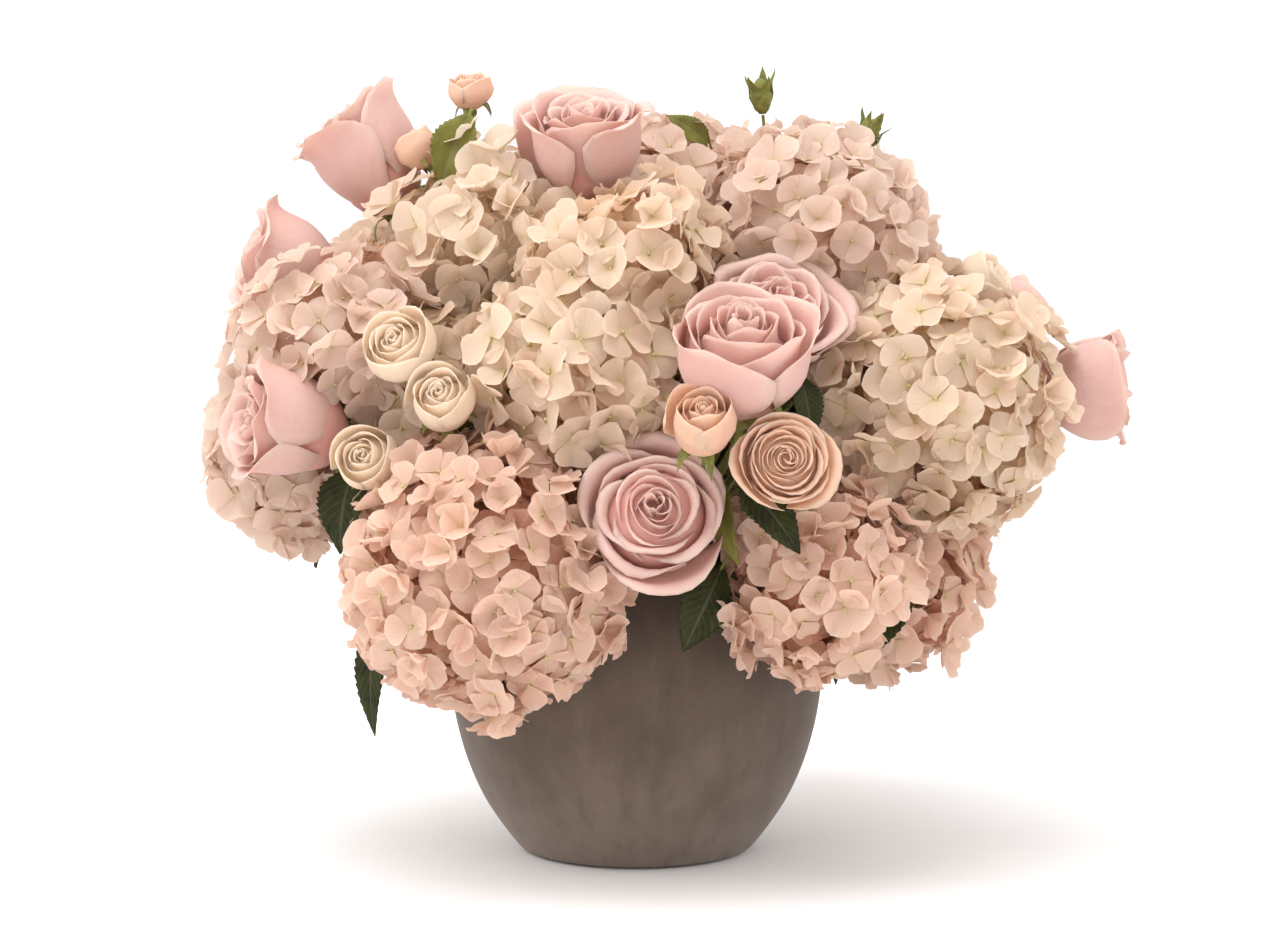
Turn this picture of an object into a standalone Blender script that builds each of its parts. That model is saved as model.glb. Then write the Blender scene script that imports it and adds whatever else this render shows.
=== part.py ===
"""Floral table centrepiece: hydrangeas, roses and spray roses in a round stoneware bowl.

Metres, +Z up. The origin is the centre of the bowl's flat underside, on the table. The front is -Y.
Every cut flower is one grown piece, its head and its own stem, and stands in a block of floral foam.
A spray rose is a branched stalk that carries several blooms and buds.
"""

import math
from dataclasses import dataclass

import bmesh
import bpy
import numpy
from mathutils import Matrix, Vector

# ---- Driving dimensions -------------------------------------------------------------------------
BOWL_HEIGHT = 0.185
BOWL_RADIUS = 0.1162  # the widest circle
BOWL_WIDEST_AT = 0.122  # its height above the table
BOWL_BELLY = 0.1535  # half height of the ellipse that the side follows
BOWL_WALL = 0.009
BOWL_FLOOR = 0.014
FOOT_RADIUS = 0.066  # the flat underside
LIP_ROUND = 0.0035

FOAM_TOP = 0.213  # stands above the rim, so that stems can go in sideways
FOAM_SHOULDER = 0.150  # up to here the foam fills the bowl
FOAM_NECK_RADIUS = 0.080  # above it, a free ring is left for watering
FOAM_GAP = 0.0012

FOCUS = Vector((0.0, 0.0, 0.150))  # the stems point at this spot in the foam
STEM_END = 0.040  # and stop this far from it
RIM_PASS = Vector((0.0, 0.0, BOWL_HEIGHT + 0.012))  # lowest height at which a stem crosses the rim

CLEARANCE = 0.0008  # air between pieces that touch in the real arrangement
HYDRANGEA_STEM = 0.0030
ROSE_STEM = 0.0026
SPRAY_STEM = 0.0019
TWIG = 0.0011
LEAF_THICKNESS = 0.0012
UNDERSIDE = 0.60  # depth of a hydrangea head below its widest circle, as a share of its radius

# ---- The arrangement ----------------------------------------------------------------------------
# A facing is (degrees from the front towards the right, degrees above the horizon).
# name, head centre, head radius, facing, tint
HYDRANGEAS = (
    ("front_left", (-0.086, -0.130, 0.191), 0.082, (-30, 10), "peach"),
    ("upper_left", (-0.097, -0.022, 0.380), 0.057, (-45, 52), "cream"),
    ("centre_high", (-0.008, -0.082, 0.365), 0.058, (0, 46), "cream"),
    ("centre_low", (-0.030, -0.104, 0.303), 0.065, (-12, 26), "cream"),
    ("top_right", (0.108, -0.012, 0.379), 0.067, (30, 60), "blush"),
    ("right", (0.179, -0.060, 0.286), 0.080, (48, 26), "cream"),
    ("low_right", (0.106, -0.125, 0.187), 0.059, (32, 5), "peach"),
    ("far_low_right", (0.154, -0.045, 0.177), 0.055, (68, 0), "peach"),
    ("left", (-0.178, -0.045, 0.314), 0.064, (-62, 32), "blush"),
    ("far_left", (-0.206, -0.022, 0.252), 0.056, (-75, 4), "blush"),
    ("inner_left", (-0.108, -0.062, 0.296), 0.054, (-40, 22), "cream"),
    ("crown", (0.022, 0.048, 0.392), 0.061, (165, 78), "blush"),
    ("back_left", (-0.140, 0.085, 0.315), 0.072, (-130, 40), "cream"),
    ("back_centre", (-0.015, 0.140, 0.330), 0.070, (180, 40), "peach"),
    ("back_right", (0.125, 0.105, 0.305), 0.074, (132, 38), "blush"),
    ("low_back_left", (-0.092, 0.130, 0.200), 0.068, (-145, 8), "peach"),
    ("low_back_right", (0.080, 0.140, 0.198), 0.066, (150, 6), "cream"),
)
# name, head centre, head radius, head length, facing
ROSES = (
    ("centre", (0.060, -0.172, 0.317), 0.041, 0.080, (4, 50)),
    ("low_centre", (0.011, -0.172, 0.230), 0.041, 0.070, (2, 14)),
    ("centre_back", (0.082, -0.110, 0.341), 0.034, 0.056, (18, 46)),
    ("top", (-0.030, -0.035, 0.430), 0.036, 0.076, (-12, 70)),
    ("top_left", (-0.162, 0.020, 0.424), 0.034, 0.082, (-95, 56)),
    ("left_upper", (-0.207, -0.012, 0.362), 0.031, 0.070, (-82, 22)),
    ("left_lower", (-0.201, -0.092, 0.273), 0.034, 0.076, (-70, 10)),
    ("right", (0.268, -0.030, 0.290), 0.031, 0.068, (82, 6)),
    ("right_back", (0.228, 0.022, 0.329), 0.028, 0.058, (105, 32)),
    ("back_left", (-0.110, 0.188, 0.275), 0.036, 0.070, (-152, 30)),
    ("back_right", (0.050, 0.210, 0.272), 0.037, 0.072, (166, 24)),
)
# stalk name, the share of the way out at which it branches, its blooms and its buds
SPRAYS = (
    (
        "cream_left",
        0.62,
        (
            ("cream_upper", (-0.138, -0.124, 0.322), 0.025, 0.040, (-20, 12)),
            ("cream_middle", (-0.112, -0.144, 0.293), 0.022, 0.038, (-12, 8)),
            ("cream_lower", (-0.157, -0.130, 0.257), 0.022, 0.036, (-16, 4)),
        ),
    ),
    (
        "peach_centre",
        0.66,
        (
            ("peach_bud_shaped", (0.038, -0.206, 0.286), 0.022, 0.042, (-2, 34)),
            ("peach_open", (0.084, -0.202, 0.265), 0.027, 0.040, (8, 12)),
        ),
    ),
    (
        "top_left",
        0.70,
        (
            ("peach_top", (-0.102, 0.000, 0.470), 0.015, 0.026, (-30, 78)),
            ("peach_behind_leaf", (-0.132, -0.008, 0.435), 0.016, 0.028, (-100, 55)),
            ("peach_left_high", (-0.153, -0.024, 0.366), 0.020, 0.036, (-70, 45)),
        ),
    ),
    (
        "right",
        0.70,
        (("cream_right", (0.210, -0.022, 0.354), 0.021, 0.038, (70, 38)),),
    ),
    (
        "back",
        0.66,
        (("peach_back", (0.142, 0.188, 0.256), 0.024, 0.040, (140, 24)),),
    ),
    (
        "buds",
        0.80,
        (
            ("green_bud_inner", (0.077, 0.004, 0.468), 0.0085, 0.022, (-60, 84)),
            ("green_bud_outer", (0.143, 0.004, 0.444), 0.0088, 0.022, (70, 62)),
        ),
    ),
)
# name, blade's base, its tip, width, the way its upper side faces, droop
LEAVES = (
    ("top_left", (-0.101, -0.024, 0.457), (-0.120, -0.034, 0.412), 0.029, (-15, 10), 0.004),
    ("top", (0.046, 0.052, 0.436), (0.020, 0.050, 0.456), 0.017, (-20, 40), 0.003),
    ("left", (-0.166, -0.092, 0.250), (-0.177, -0.118, 0.203), 0.034, (-25, 25), 0.006),
    ("left_drooping", (-0.155, -0.060, 0.157), (-0.161, -0.080, 0.085), 0.022, (-30, 15), 0.006),
    ("front", (0.050, -0.146, 0.196), (0.028, -0.154, 0.148), 0.030, (8, 20), 0.006),
    ("centre", (0.062, -0.160, 0.248), (0.094, -0.190, 0.213), 0.028, (-5, 40), 0.005),
    ("centre_curled", (0.048, -0.148, 0.250), (0.056, -0.176, 0.204), 0.020, (-35, 20), 0.006),
    ("right_low", (0.166, -0.098, 0.186), (0.132, -0.124, 0.134), 0.019, (20, 20), 0.005),
    ("rim_right", (0.110, -0.074, 0.158), (0.122, -0.094, 0.120), 0.018, (35, 20), 0.004),
    ("behind_rose", (0.096, -0.128, 0.306), (0.103, -0.152, 0.272), 0.020, (15, 30), 0.004),
    ("back_left", (-0.160, 0.078, 0.218), (-0.212, 0.096, 0.168), 0.038, (-110, 35), 0.008),
    ("back_right", (0.158, 0.070, 0.214), (0.208, 0.090, 0.160), 0.038, (110, 35), 0.008),
)

COLOURS = {
    "stoneware": ((0.160, 0.128, 0.108), 0.78),
    "foam": ((0.050, 0.110, 0.045), 0.95),
    "hydrangea_cream": ((0.800, 0.590, 0.440), 0.60),
    "hydrangea_blush": ((0.780, 0.530, 0.430), 0.60),
    "hydrangea_peach": ((0.730, 0.460, 0.330), 0.60),
    "rose_petal": ((0.770, 0.510, 0.440), 0.55),
    "spray_cream": ((0.850, 0.610, 0.400), 0.55),
    "spray_peach": ((0.760, 0.460, 0.300), 0.55),
    "stem": ((0.130, 0.210, 0.050), 0.50),
    "bud": ((0.220, 0.330, 0.080), 0.50),
    "leaf": ((0.050, 0.110, 0.030), 0.45),
}


# ---- Helpers ------------------------------------------------------------------------------------
def material(name):
    """The named finish, made once."""
    found = bpy.data.materials.get(name)
    if found:
        return found
    colour, roughness = COLOURS[name]
    made = bpy.data.materials.new(name)
    made.use_nodes = True
    shader = made.node_tree.nodes["Principled BSDF"]
    shader.inputs["Base Color"].default_value = (*colour, 1.0)
    shader.inputs["Roughness"].default_value = roughness
    shader.inputs["Metallic"].default_value = 0.0
    return made


def direction(facing):
    """The unit vector of a facing."""
    round_, up = (math.radians(angle) for angle in facing)
    return Vector((math.sin(round_) * math.cos(up), -math.cos(round_) * math.cos(up), math.sin(up)))


def add_object(name, mesh, finish, place=(0, 0, 0), rotation=None):
    """A mesh object in the arrangement's collection."""
    obj = bpy.data.objects.new(name, mesh)
    obj.location = place
    if rotation is not None:
        obj.rotation_euler = rotation.to_euler()
    mesh.materials.clear()
    mesh.materials.append(material(finish))
    ARRANGEMENT.objects.link(obj)
    return obj


def mesh_from(build):
    """A mesh made by calling build on an empty bmesh."""
    mesh = bpy.data.meshes.new("mesh")
    bm = bmesh.new()
    build(bm)
    bmesh.ops.recalc_face_normals(bm, faces=bm.faces)
    bm.to_mesh(mesh)
    bm.free()
    return mesh


def apply_modifiers(obj):
    """Gives the object the mesh that its modifiers make, and clears them."""
    bpy.context.view_layer.update()
    graph = bpy.context.evaluated_depsgraph_get()
    mesh = bpy.data.meshes.new_from_object(obj.evaluated_get(graph), depsgraph=graph)
    finish = obj.data.materials[0]
    obj.modifiers.clear()
    obj.data = mesh
    mesh.materials.clear()
    mesh.materials.append(finish)


def boolean(obj, other, operation):
    """Joins or cuts obj with another object, at once."""
    modifier = obj.modifiers.new(operation, "BOOLEAN")
    modifier.object = other
    modifier.operation = operation
    apply_modifiers(obj)


def keep_largest_piece(obj):
    """Removes the trimmings that a cut leaves beside the main piece."""
    bm = bmesh.new()
    bm.from_mesh(obj.data)
    left = set(bm.verts)
    pieces = []
    while left:
        todo = [left.pop()]
        piece = set(todo)
        while todo:
            for edge in todo.pop().link_edges:
                for vert in edge.verts:
                    if vert in left:
                        left.discard(vert)
                        piece.add(vert)
                        todo.append(vert)
        pieces.append(piece)
    pieces.sort(key=lambda piece: -sum(face.calc_area() for v in piece for face in v.link_faces))
    for piece in pieces[1:]:
        bmesh.ops.delete(bm, geom=list(piece), context="VERTS")
    bmesh.ops.dissolve_degenerate(bm, dist=1e-6, edges=bm.edges)
    bm.to_mesh(obj.data)
    bm.free()


def world_box(obj):
    """Lowest and highest corner of an object."""
    bpy.context.view_layer.update()
    corners = [obj.matrix_world @ vert.co for vert in obj.data.vertices]
    return [[pick(c[axis] for c in corners) for axis in range(3)] for pick in (min, max)]


def boxes_meet(a, b):
    """Whether two boxes overlap."""
    return all(a[0][i] < b[1][i] and b[0][i] < a[1][i] for i in range(3))


def as_cutter(obj):
    """Puts an object away as a cutter."""
    for collection in list(obj.users_collection):
        collection.objects.unlink(obj)
    obj.hide_render = True
    obj.display_type = "WIRE"
    CUTTERS.objects.link(obj)
    return obj


def room_for(obj, clearance=CLEARANCE):
    """A cutter that is the object swollen by the clearance."""
    swollen = obj.data.copy()
    normals = [vert.normal.copy() for vert in swollen.vertices]
    for vert, normal in zip(swollen.vertices, normals):
        vert.co += normal * clearance
    cutter = bpy.data.objects.new("room_for_" + obj.name, swollen)
    cutter.matrix_world = obj.matrix_world
    return as_cutter(cutter)


def carve(obj, cutters):
    """Cuts the room that the cutters mark out of obj."""
    own_box = world_box(obj)
    for cutter in cutters:
        if boxes_meet(own_box, world_box(cutter)):
            boolean(obj, cutter, "DIFFERENCE")
    keep_largest_piece(obj)


def turned(name, profile, steps, finish, place=(0, 0, 0), rotation=None):
    """A turned solid. The profile runs from the top of the axis down the outside to the bottom."""
    mesh = bpy.data.meshes.new("profile")
    bm = bmesh.new()
    verts = [bm.verts.new((radius, 0, height)) for radius, height in profile]
    for first, second in zip(verts, verts[1:]):
        bm.edges.new((first, second))
    bm.to_mesh(mesh)
    bm.free()
    obj = add_object(name, mesh, finish, place, rotation)
    screw = obj.modifiers.new("turn", "SCREW")
    screw.steps = screw.render_steps = steps
    screw.use_merge_vertices = True
    screw.merge_threshold = 0.00005
    apply_modifiers(obj)
    obj.data.shade_smooth()
    obj.data.set_sharp_from_angle(angle=math.radians(40))
    return obj


def tube(name, points, radius, finish, tip=0.85):
    """A round stem along the points, a little thinner at its far end."""
    curve = bpy.data.curves.new(name, "CURVE")
    curve.dimensions = "3D"
    curve.bevel_depth = radius
    curve.bevel_resolution = 1
    curve.use_fill_caps = True
    spline = curve.splines.new("POLY")
    spline.points.add(len(points) - 1)
    for i, (target, point) in enumerate(zip(spline.points, points)):
        target.co = (*point, 1)
        target.radius = 1 + (tip - 1) * i / (len(points) - 1)
    source = bpy.data.objects.new(name + "_line", curve)
    ARRANGEMENT.objects.link(source)
    bpy.context.view_layer.update()
    graph = bpy.context.evaluated_depsgraph_get()
    mesh = bpy.data.meshes.new_from_object(source.evaluated_get(graph), depsgraph=graph)
    bpy.data.objects.remove(source)
    bm = bmesh.new()
    bm.from_mesh(mesh)
    bmesh.ops.remove_doubles(bm, verts=bm.verts, dist=0.00001)
    bm.to_mesh(mesh)
    bm.free()
    return add_object(name, mesh, finish)


def bowed(start, middle, end, pieces):
    """Points of a smooth bow from start to end that leans towards middle."""
    line = []
    for i in range(pieces + 1):
        t = i / pieces
        line.append(start * (1 - t) ** 2 + middle * 2 * t * (1 - t) + end * t**2)
    return line


@dataclass
class Stem:
    """A stem from its seat in the foam to the point where its flower takes it up."""

    name: str
    end: Vector
    radius: float
    neck: tuple = ()  # further points, inside the flower

    def __post_init__(self):
        """Seats the stem on the straight way to the focus, or on the way over the rim."""
        out = Vector((self.end.x, self.end.y, 0))
        self.over_rim = RIM_PASS + out.normalized() * bowl_radius(BOWL_HEIGHT)
        share = bowl_radius(BOWL_HEIGHT) / max(out.length, 0.001)
        height_at_rim = FOCUS.z + (self.end.z - FOCUS.z) * share
        self.is_low = height_at_rim < self.over_rim.z
        aim = self.over_rim if self.is_low else self.end
        self.seat = FOCUS + (aim - FOCUS).normalized() * STEM_END

    def line(self):
        """The stem's points, from the seat outwards."""
        points = [self.seat, self.end]
        if self.is_low:
            # The control point lies above the rim, so that the bow itself clears the lip.
            points = bowed(self.seat, self.over_rim * 2 - (self.seat + self.end) / 2, self.end, 5)
        return [*points, *self.neck]

    def make(self, wider=0.0):
        """The stem's tube, or a wider one to cut its hole with."""
        line = self.line()
        line[0] = line[0] - (line[1] - line[0]).normalized() * wider
        return tube("stem_" + self.name, line, self.radius + wider, "stem")


def points_along(line, count):
    """Evenly spaced points on a line of points, as an array."""
    line = numpy.array([tuple(point) for point in line])
    lengths = numpy.linalg.norm(numpy.diff(line, axis=0), axis=1)
    at = numpy.concatenate(([0.0], numpy.cumsum(lengths)))
    wanted = numpy.linspace(0.0, at[-1], count)
    return numpy.stack([numpy.interp(wanted, at, line[:, axis]) for axis in range(3)], axis=1)


def part_stems(stems):
    """Moves the seats of crowded stems apart, until no two stems touch."""
    count = 48
    radii = numpy.array([stem.radius for stem in stems])
    for _ in range(60):
        rows = numpy.array([points_along(stem.line(), count) for stem in stems])
        crowded = False
        for i, stem in enumerate(stems):
            for j in range(i + 1, len(stems)):
                needed = radii[i] + radii[j] + 2 * CLEARANCE
                gaps = numpy.linalg.norm(rows[i][:, None] - rows[j][None, :], axis=2)
                a, b = numpy.unravel_index(gaps.argmin(), gaps.shape)
                short = needed - gaps[a, b]
                if short <= 0:
                    continue
                crowded = True
                away = Vector(rows[i][a] - rows[j][b]).normalized() * (short * 0.6)
                stem.seat = kept_in_foam(stem.seat + away / max(0.3, 1 - a / count))
                other = stems[j]
                other.seat = kept_in_foam(other.seat - away / max(0.3, 1 - b / count))
        if not crowded:
            return


def kept_in_foam(seat):
    """The seat, moved inside the foam where it has left it."""
    flat = Vector((seat.x, seat.y, 0))
    if flat.length > FOAM_NECK_RADIUS - 0.012:
        flat *= (FOAM_NECK_RADIUS - 0.012) / flat.length
    return Vector((flat.x, flat.y, min(max(seat.z, 0.05), FOAM_TOP - 0.012)))


# ---- The pieces ---------------------------------------------------------------------------------
def bowl_radius(height, inset=0.0):
    """Radius of the bowl's side at a height, less the inset."""
    lean = (height - BOWL_WIDEST_AT) / BOWL_BELLY
    return BOWL_RADIUS * math.sqrt(1 - lean * lean) - inset


def spread(low, high, count):
    """Evenly spaced values, both ends included."""
    return [low + (high - low) * i / (count - 1) for i in range(count)]


def make_bowl():
    """The bowl, turned, with a rounded lip and a flat underside."""
    inside_top = BOWL_HEIGHT - LIP_ROUND
    profile = [(0.0, BOWL_FLOOR), (FOOT_RADIUS * 0.6, BOWL_FLOOR)]
    for height in spread(BOWL_FLOOR + 0.010, inside_top, 6):
        profile.append((bowl_radius(height, BOWL_WALL), height))
    middle = bowl_radius(inside_top) - BOWL_WALL / 2
    for angle in (135, 45):
        turn = math.radians(angle)
        across = middle + BOWL_WALL / 2 * math.cos(turn)
        profile.append((across, inside_top + LIP_ROUND * math.sin(turn)))
    for height in spread(inside_top, 0.005, 8):
        profile.append((bowl_radius(height), height))
    profile += [(FOOT_RADIUS + 0.002, 0.0008), (FOOT_RADIUS, 0.0), (0.0, 0.0)]
    return turned("bowl", profile, 32, "stoneware")


def make_foam():
    """The foam block: it fills the bowl up to its shoulder and stands up through the mouth."""
    wall = BOWL_WALL + FOAM_GAP
    bottom = BOWL_FLOOR + FOAM_GAP
    edge = 0.006
    profile = [(0.0, FOAM_TOP), (FOAM_NECK_RADIUS - edge, FOAM_TOP)]
    profile += [(FOAM_NECK_RADIUS, FOAM_TOP - edge), (FOAM_NECK_RADIUS, FOAM_SHOULDER)]
    for height in spread(FOAM_SHOULDER - 0.002, bottom + 0.012, 5):
        profile.append((bowl_radius(height, wall + 0.0008), height))
    profile += [(FOOT_RADIUS * 0.6, bottom), (0.0, bottom)]
    return turned("floral_foam", profile, 24, "foam")


def make_hydrangea_head(name, place, radius, facing, tint):
    """A domed head: round outside, flatter on the side of its stem."""

    def build(bm):
        bmesh.ops.create_uvsphere(bm, u_segments=12, v_segments=8, radius=radius)
        for vert in bm.verts:
            if vert.co.z < 0:
                vert.co.z *= UNDERSIDE

    turn = direction(facing).to_track_quat("Z", "Y")
    obj = add_object("hydrangea_" + name, mesh_from(build), "hydrangea_" + tint, place, turn)
    obj.data.shade_smooth()
    return obj


def part_heads(heads):
    """Cuts neighbouring domes flat where they would run into each other."""
    for obj, place, radius in heads:
        bpy.context.view_layer.update()
        inverse = obj.matrix_world.inverted()
        bm = bmesh.new()
        bm.from_mesh(obj.data)
        for other, other_place, other_radius in heads:
            gap = Vector(other_place) - Vector(place)
            if other is obj or gap.length >= radius + other_radius:
                continue
            along = (gap.length_squared + radius**2 - other_radius**2) / (2 * gap.length)
            plane = Vector(place) + gap.normalized() * (along - CLEARANCE / 2)
            everything = [*bm.verts, *bm.edges, *bm.faces]
            cut = bmesh.ops.bisect_plane(
                bm,
                geom=everything,
                plane_co=inverse @ plane,
                plane_no=inverse.to_3x3() @ gap.normalized(),
                clear_outer=True,
            )
            rim = [edge for edge in cut["geom_cut"] if isinstance(edge, bmesh.types.BMEdge)]
            bmesh.ops.edgeloop_fill(bm, edges=rim)
        bm.to_mesh(obj.data)
        bm.free()


def flower_profile(radius, length, neck):
    """Half section of a rose head: cupped top, full belly, and the hip down to the neck."""
    hip = max(neck * 2.2, radius * 0.24)
    return [
        (0.0, length * 0.90),
        (radius * 0.45, length * 0.92),
        (radius * 0.80, length),
        (radius * 0.98, length * 0.95),
        (radius, length * 0.66),
        (radius * 0.86, length * 0.36),
        (radius * 0.50, length * 0.18),
        (hip, length * 0.10),
        (neck, 0.0),
        (0.0, 0.0),
    ]


def make_flower_head(name, place, radius, length, facing, finish, neck, steps):
    """A turned rose or bloom. Returns the object and the point where its stem meets it."""
    out = direction(facing)
    base = Vector(place) - out * length / 2
    turn = out.to_track_quat("Z", "Y")
    return turned(name, flower_profile(radius, length, neck), steps, finish, base, turn), base


def make_hydrangeas():
    """The hydrangeas' parted heads, and their stems."""
    heads = []
    stems = []
    for name, place, radius, facing, tint in HYDRANGEAS:
        head = make_hydrangea_head(name, place, radius, facing, tint)
        heads.append((head, place, radius))
        stems.append(Stem("hydrangea_" + name, Vector(place), HYDRANGEA_STEM))
    part_heads(heads)
    return [head for head, _, _ in heads], stems


def make_roses():
    """The roses' heads, and their stems."""
    heads = []
    stems = []
    for name, place, radius, length, facing in ROSES:
        head, base = make_flower_head(
            "rose_" + name, place, radius, length, facing, "rose_petal", ROSE_STEM, 10
        )
        # The stem straightens into the head's own axis just below it.
        out = direction(facing)
        neck = (base - out * 0.008, base + out * 0.006)
        heads.append(head)
        stems.append(Stem("rose_" + name, base - out * 0.030, ROSE_STEM, neck))
    return heads, stems


@dataclass
class Spray:
    """A branched stalk with its blooms or buds."""

    name: str
    share: float
    flowers: tuple

    def make_heads(self):
        """The blooms and buds, each a piece of its own."""
        self.heads = []
        self.necks = []
        for flower, place, radius, length, facing in self.flowers:
            is_bud = "green_bud" in flower
            tint = "spray_cream" if "cream" in flower else "spray_peach"
            kind, finish = ("spray_", "bud") if is_bud else ("spray_bloom_", tint)
            head, base = make_flower_head(
                kind + flower, place, radius, length, facing, finish, TWIG, 8
            )
            self.heads.append(head)
            self.necks.append((base, direction(facing)))
        middle = sum((base for base, _ in self.necks), Vector()) / len(self.necks)
        self.stem = Stem(self.name, FOCUS + (middle - FOCUS) * self.share, SPRAY_STEM)
        return self.heads

    def twig_lines(self):
        """One line of points for each twig, from the fork to just below its flower."""
        fork = self.stem.end
        back = (fork - self.stem.line()[-2]).normalized()
        lines = []
        for i, (base, out) in enumerate(self.necks):
            start = fork - back * 0.004 * (i + 1)
            bend = base - out * (base - fork).length * 0.4
            lines.append(bowed(start, bend, base - out * CLEARANCE, 4))
        return lines

    def make_stalk(self, name, wider=0.0):
        """The stalk with its twigs, or a wider one to cut its hole with."""
        stalk = self.stem.make(wider)
        stalk.name = name
        for line in self.twig_lines():
            twig = tube("twig", line, TWIG + wider, "stem", tip=0.9)
            boolean(stalk, twig, "UNION")
            bpy.data.objects.remove(twig)
        keep_largest_piece(stalk)
        return stalk


def nearest_on(routes, point):
    """The point on any of the routes that lies nearest to point."""
    best = None
    for line in routes:
        for start, end in zip(line, line[1:]):
            along = end - start
            share = min(1, max(0, (point - start).dot(along) / along.length_squared))
            here = start + along * share
            if best is None or (here - point).length < (best - point).length:
                best = here
    return best


def make_leaf(name, base, tip, width, facing, droop, routes):
    """A leaf blade on its petiole, which springs from the nearest stem."""
    base, tip = Vector(base), Vector(tip)
    length = (tip - base).length
    along = (tip - base).normalized()
    across = along.cross(direction(facing)).normalized()
    up = across.cross(along)
    frame = Matrix((across, along, up)).transposed()

    def build(bm):
        bmesh.ops.create_grid(bm, x_segments=2, y_segments=6, size=0.5)
        for vert in bm.verts:
            s, t = vert.co.x * 2, vert.co.y + 0.5
            half = width / 2 * math.sin(math.pi * (0.06 + 0.90 * t) ** 0.85)
            fold = abs(s) * half * 0.25
            bend = droop * (4 * t * (1 - t) - t * t)
            vert.co = frame @ Vector((s * half, t * length, fold + bend))

    obj = add_object("leaf_" + name, mesh_from(build), "leaf", base)
    solid = obj.modifiers.new("thickness", "SOLIDIFY")
    solid.thickness = LEAF_THICKNESS
    solid.offset = 0.0
    apply_modifiers(obj)
    root = nearest_on(routes, base - along * 0.01)
    reach = (root - base).length
    pieces = max(1, min(4, round(reach / 0.008)))
    line = bowed(root, base - along * reach * 0.5, base + along * length * 0.12, pieces)
    petiole = tube("petiole_" + name, line, TWIG, "stem")
    boolean(obj, petiole, "UNION")
    bpy.data.objects.remove(petiole)
    keep_largest_piece(obj)
    return obj


def make_flowers_one_piece(heads, stems):
    """Joins each head to its own stem."""
    for head, stem in zip(heads, stems):
        own_stem = stem.make()
        boolean(head, own_stem, "UNION")
        bpy.data.objects.remove(own_stem)
        keep_largest_piece(head)


def main():
    """Builds every piece, and clears room where pieces press together."""
    bowl = make_bowl()
    sprays = [Spray(*spray) for spray in SPRAYS]
    blooms = [head for spray in sprays for head in spray.make_heads()]
    roses, rose_stems = make_roses()
    hydrangeas, hydrangea_stems = make_hydrangeas()
    flower_stems = rose_stems + hydrangea_stems
    part_stems([*flower_stems, *[spray.stem for spray in sprays]])
    for spray in sprays:
        spray.make_stalk("spray_stalk_" + spray.name)
    lines = [stem.line() for stem in flower_stems]
    lines += [line for spray in sprays for line in [spray.stem.line(), *spray.twig_lines()]]
    leaves = [make_leaf(*leaf, lines) for leaf in LEAVES]

    holes = [as_cutter(stem.make(CLEARANCE)) for stem in flower_stems]
    holes += [as_cutter(spray.make_stalk("hole_" + spray.name, CLEARANCE)) for spray in sprays]
    room = {stem.name: hole for stem, hole in zip(flower_stems, holes)}
    foam = make_foam()
    carve(foam, holes)
    cutters = [room_for(bowl)]
    for piece in [*blooms, *roses, *leaves, *hydrangeas]:
        carve(piece, [*cutters, *[hole for hole in holes if hole is not room.get(piece.name)]])
        cutters.append(room_for(piece, CLEARANCE * (1.5 if piece in leaves else 1)))
    carve(foam, [cutter for cutter in cutters if "leaf" in cutter.name])
    make_flowers_one_piece(roses + hydrangeas, flower_stems)
    for cutter in list(CUTTERS.objects):
        bpy.data.objects.remove(cutter)


for old in list(bpy.data.objects):
    bpy.data.objects.remove(old)
ARRANGEMENT = bpy.data.collections.new("floral_centrepiece")
CUTTERS = bpy.data.collections.new("cutters")
bpy.context.scene.collection.children.link(ARRANGEMENT)
bpy.context.scene.collection.children.link(CUTTERS)
main()
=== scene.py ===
"""The looks of a floral table centrepiece: hydrangeas, roses and spray roses in a stoneware bowl.

Every flower takes its place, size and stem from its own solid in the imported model, and its petals
are grown there one by one. Metres, +Z up, and the front of the arrangement is -Y.
"""

import logging
import math
import random
from collections.abc import Callable
from dataclasses import dataclass, field
from enum import Enum

import bmesh
import bpy
import numpy as np
from mathutils import Matrix, Vector, noise


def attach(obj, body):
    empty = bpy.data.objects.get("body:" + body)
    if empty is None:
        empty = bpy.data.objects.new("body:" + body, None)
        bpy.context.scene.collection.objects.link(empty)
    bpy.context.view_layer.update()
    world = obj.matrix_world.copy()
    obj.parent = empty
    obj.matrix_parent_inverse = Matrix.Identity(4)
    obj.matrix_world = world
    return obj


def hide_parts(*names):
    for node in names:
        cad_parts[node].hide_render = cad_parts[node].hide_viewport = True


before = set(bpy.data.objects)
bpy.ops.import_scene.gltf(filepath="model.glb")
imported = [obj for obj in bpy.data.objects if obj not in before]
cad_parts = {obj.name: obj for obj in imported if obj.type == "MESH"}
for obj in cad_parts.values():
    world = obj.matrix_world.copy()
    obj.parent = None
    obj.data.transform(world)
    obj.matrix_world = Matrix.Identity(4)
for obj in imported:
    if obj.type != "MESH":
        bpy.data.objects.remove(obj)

log = logging.getLogger("centrepiece")

Shape = Callable[[float, float], tuple[Vector, float]]  # a sheet's place and depth, across and along
Blocked = Callable[[Vector, float], bool]  # tells whether a floret is in something's way

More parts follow.
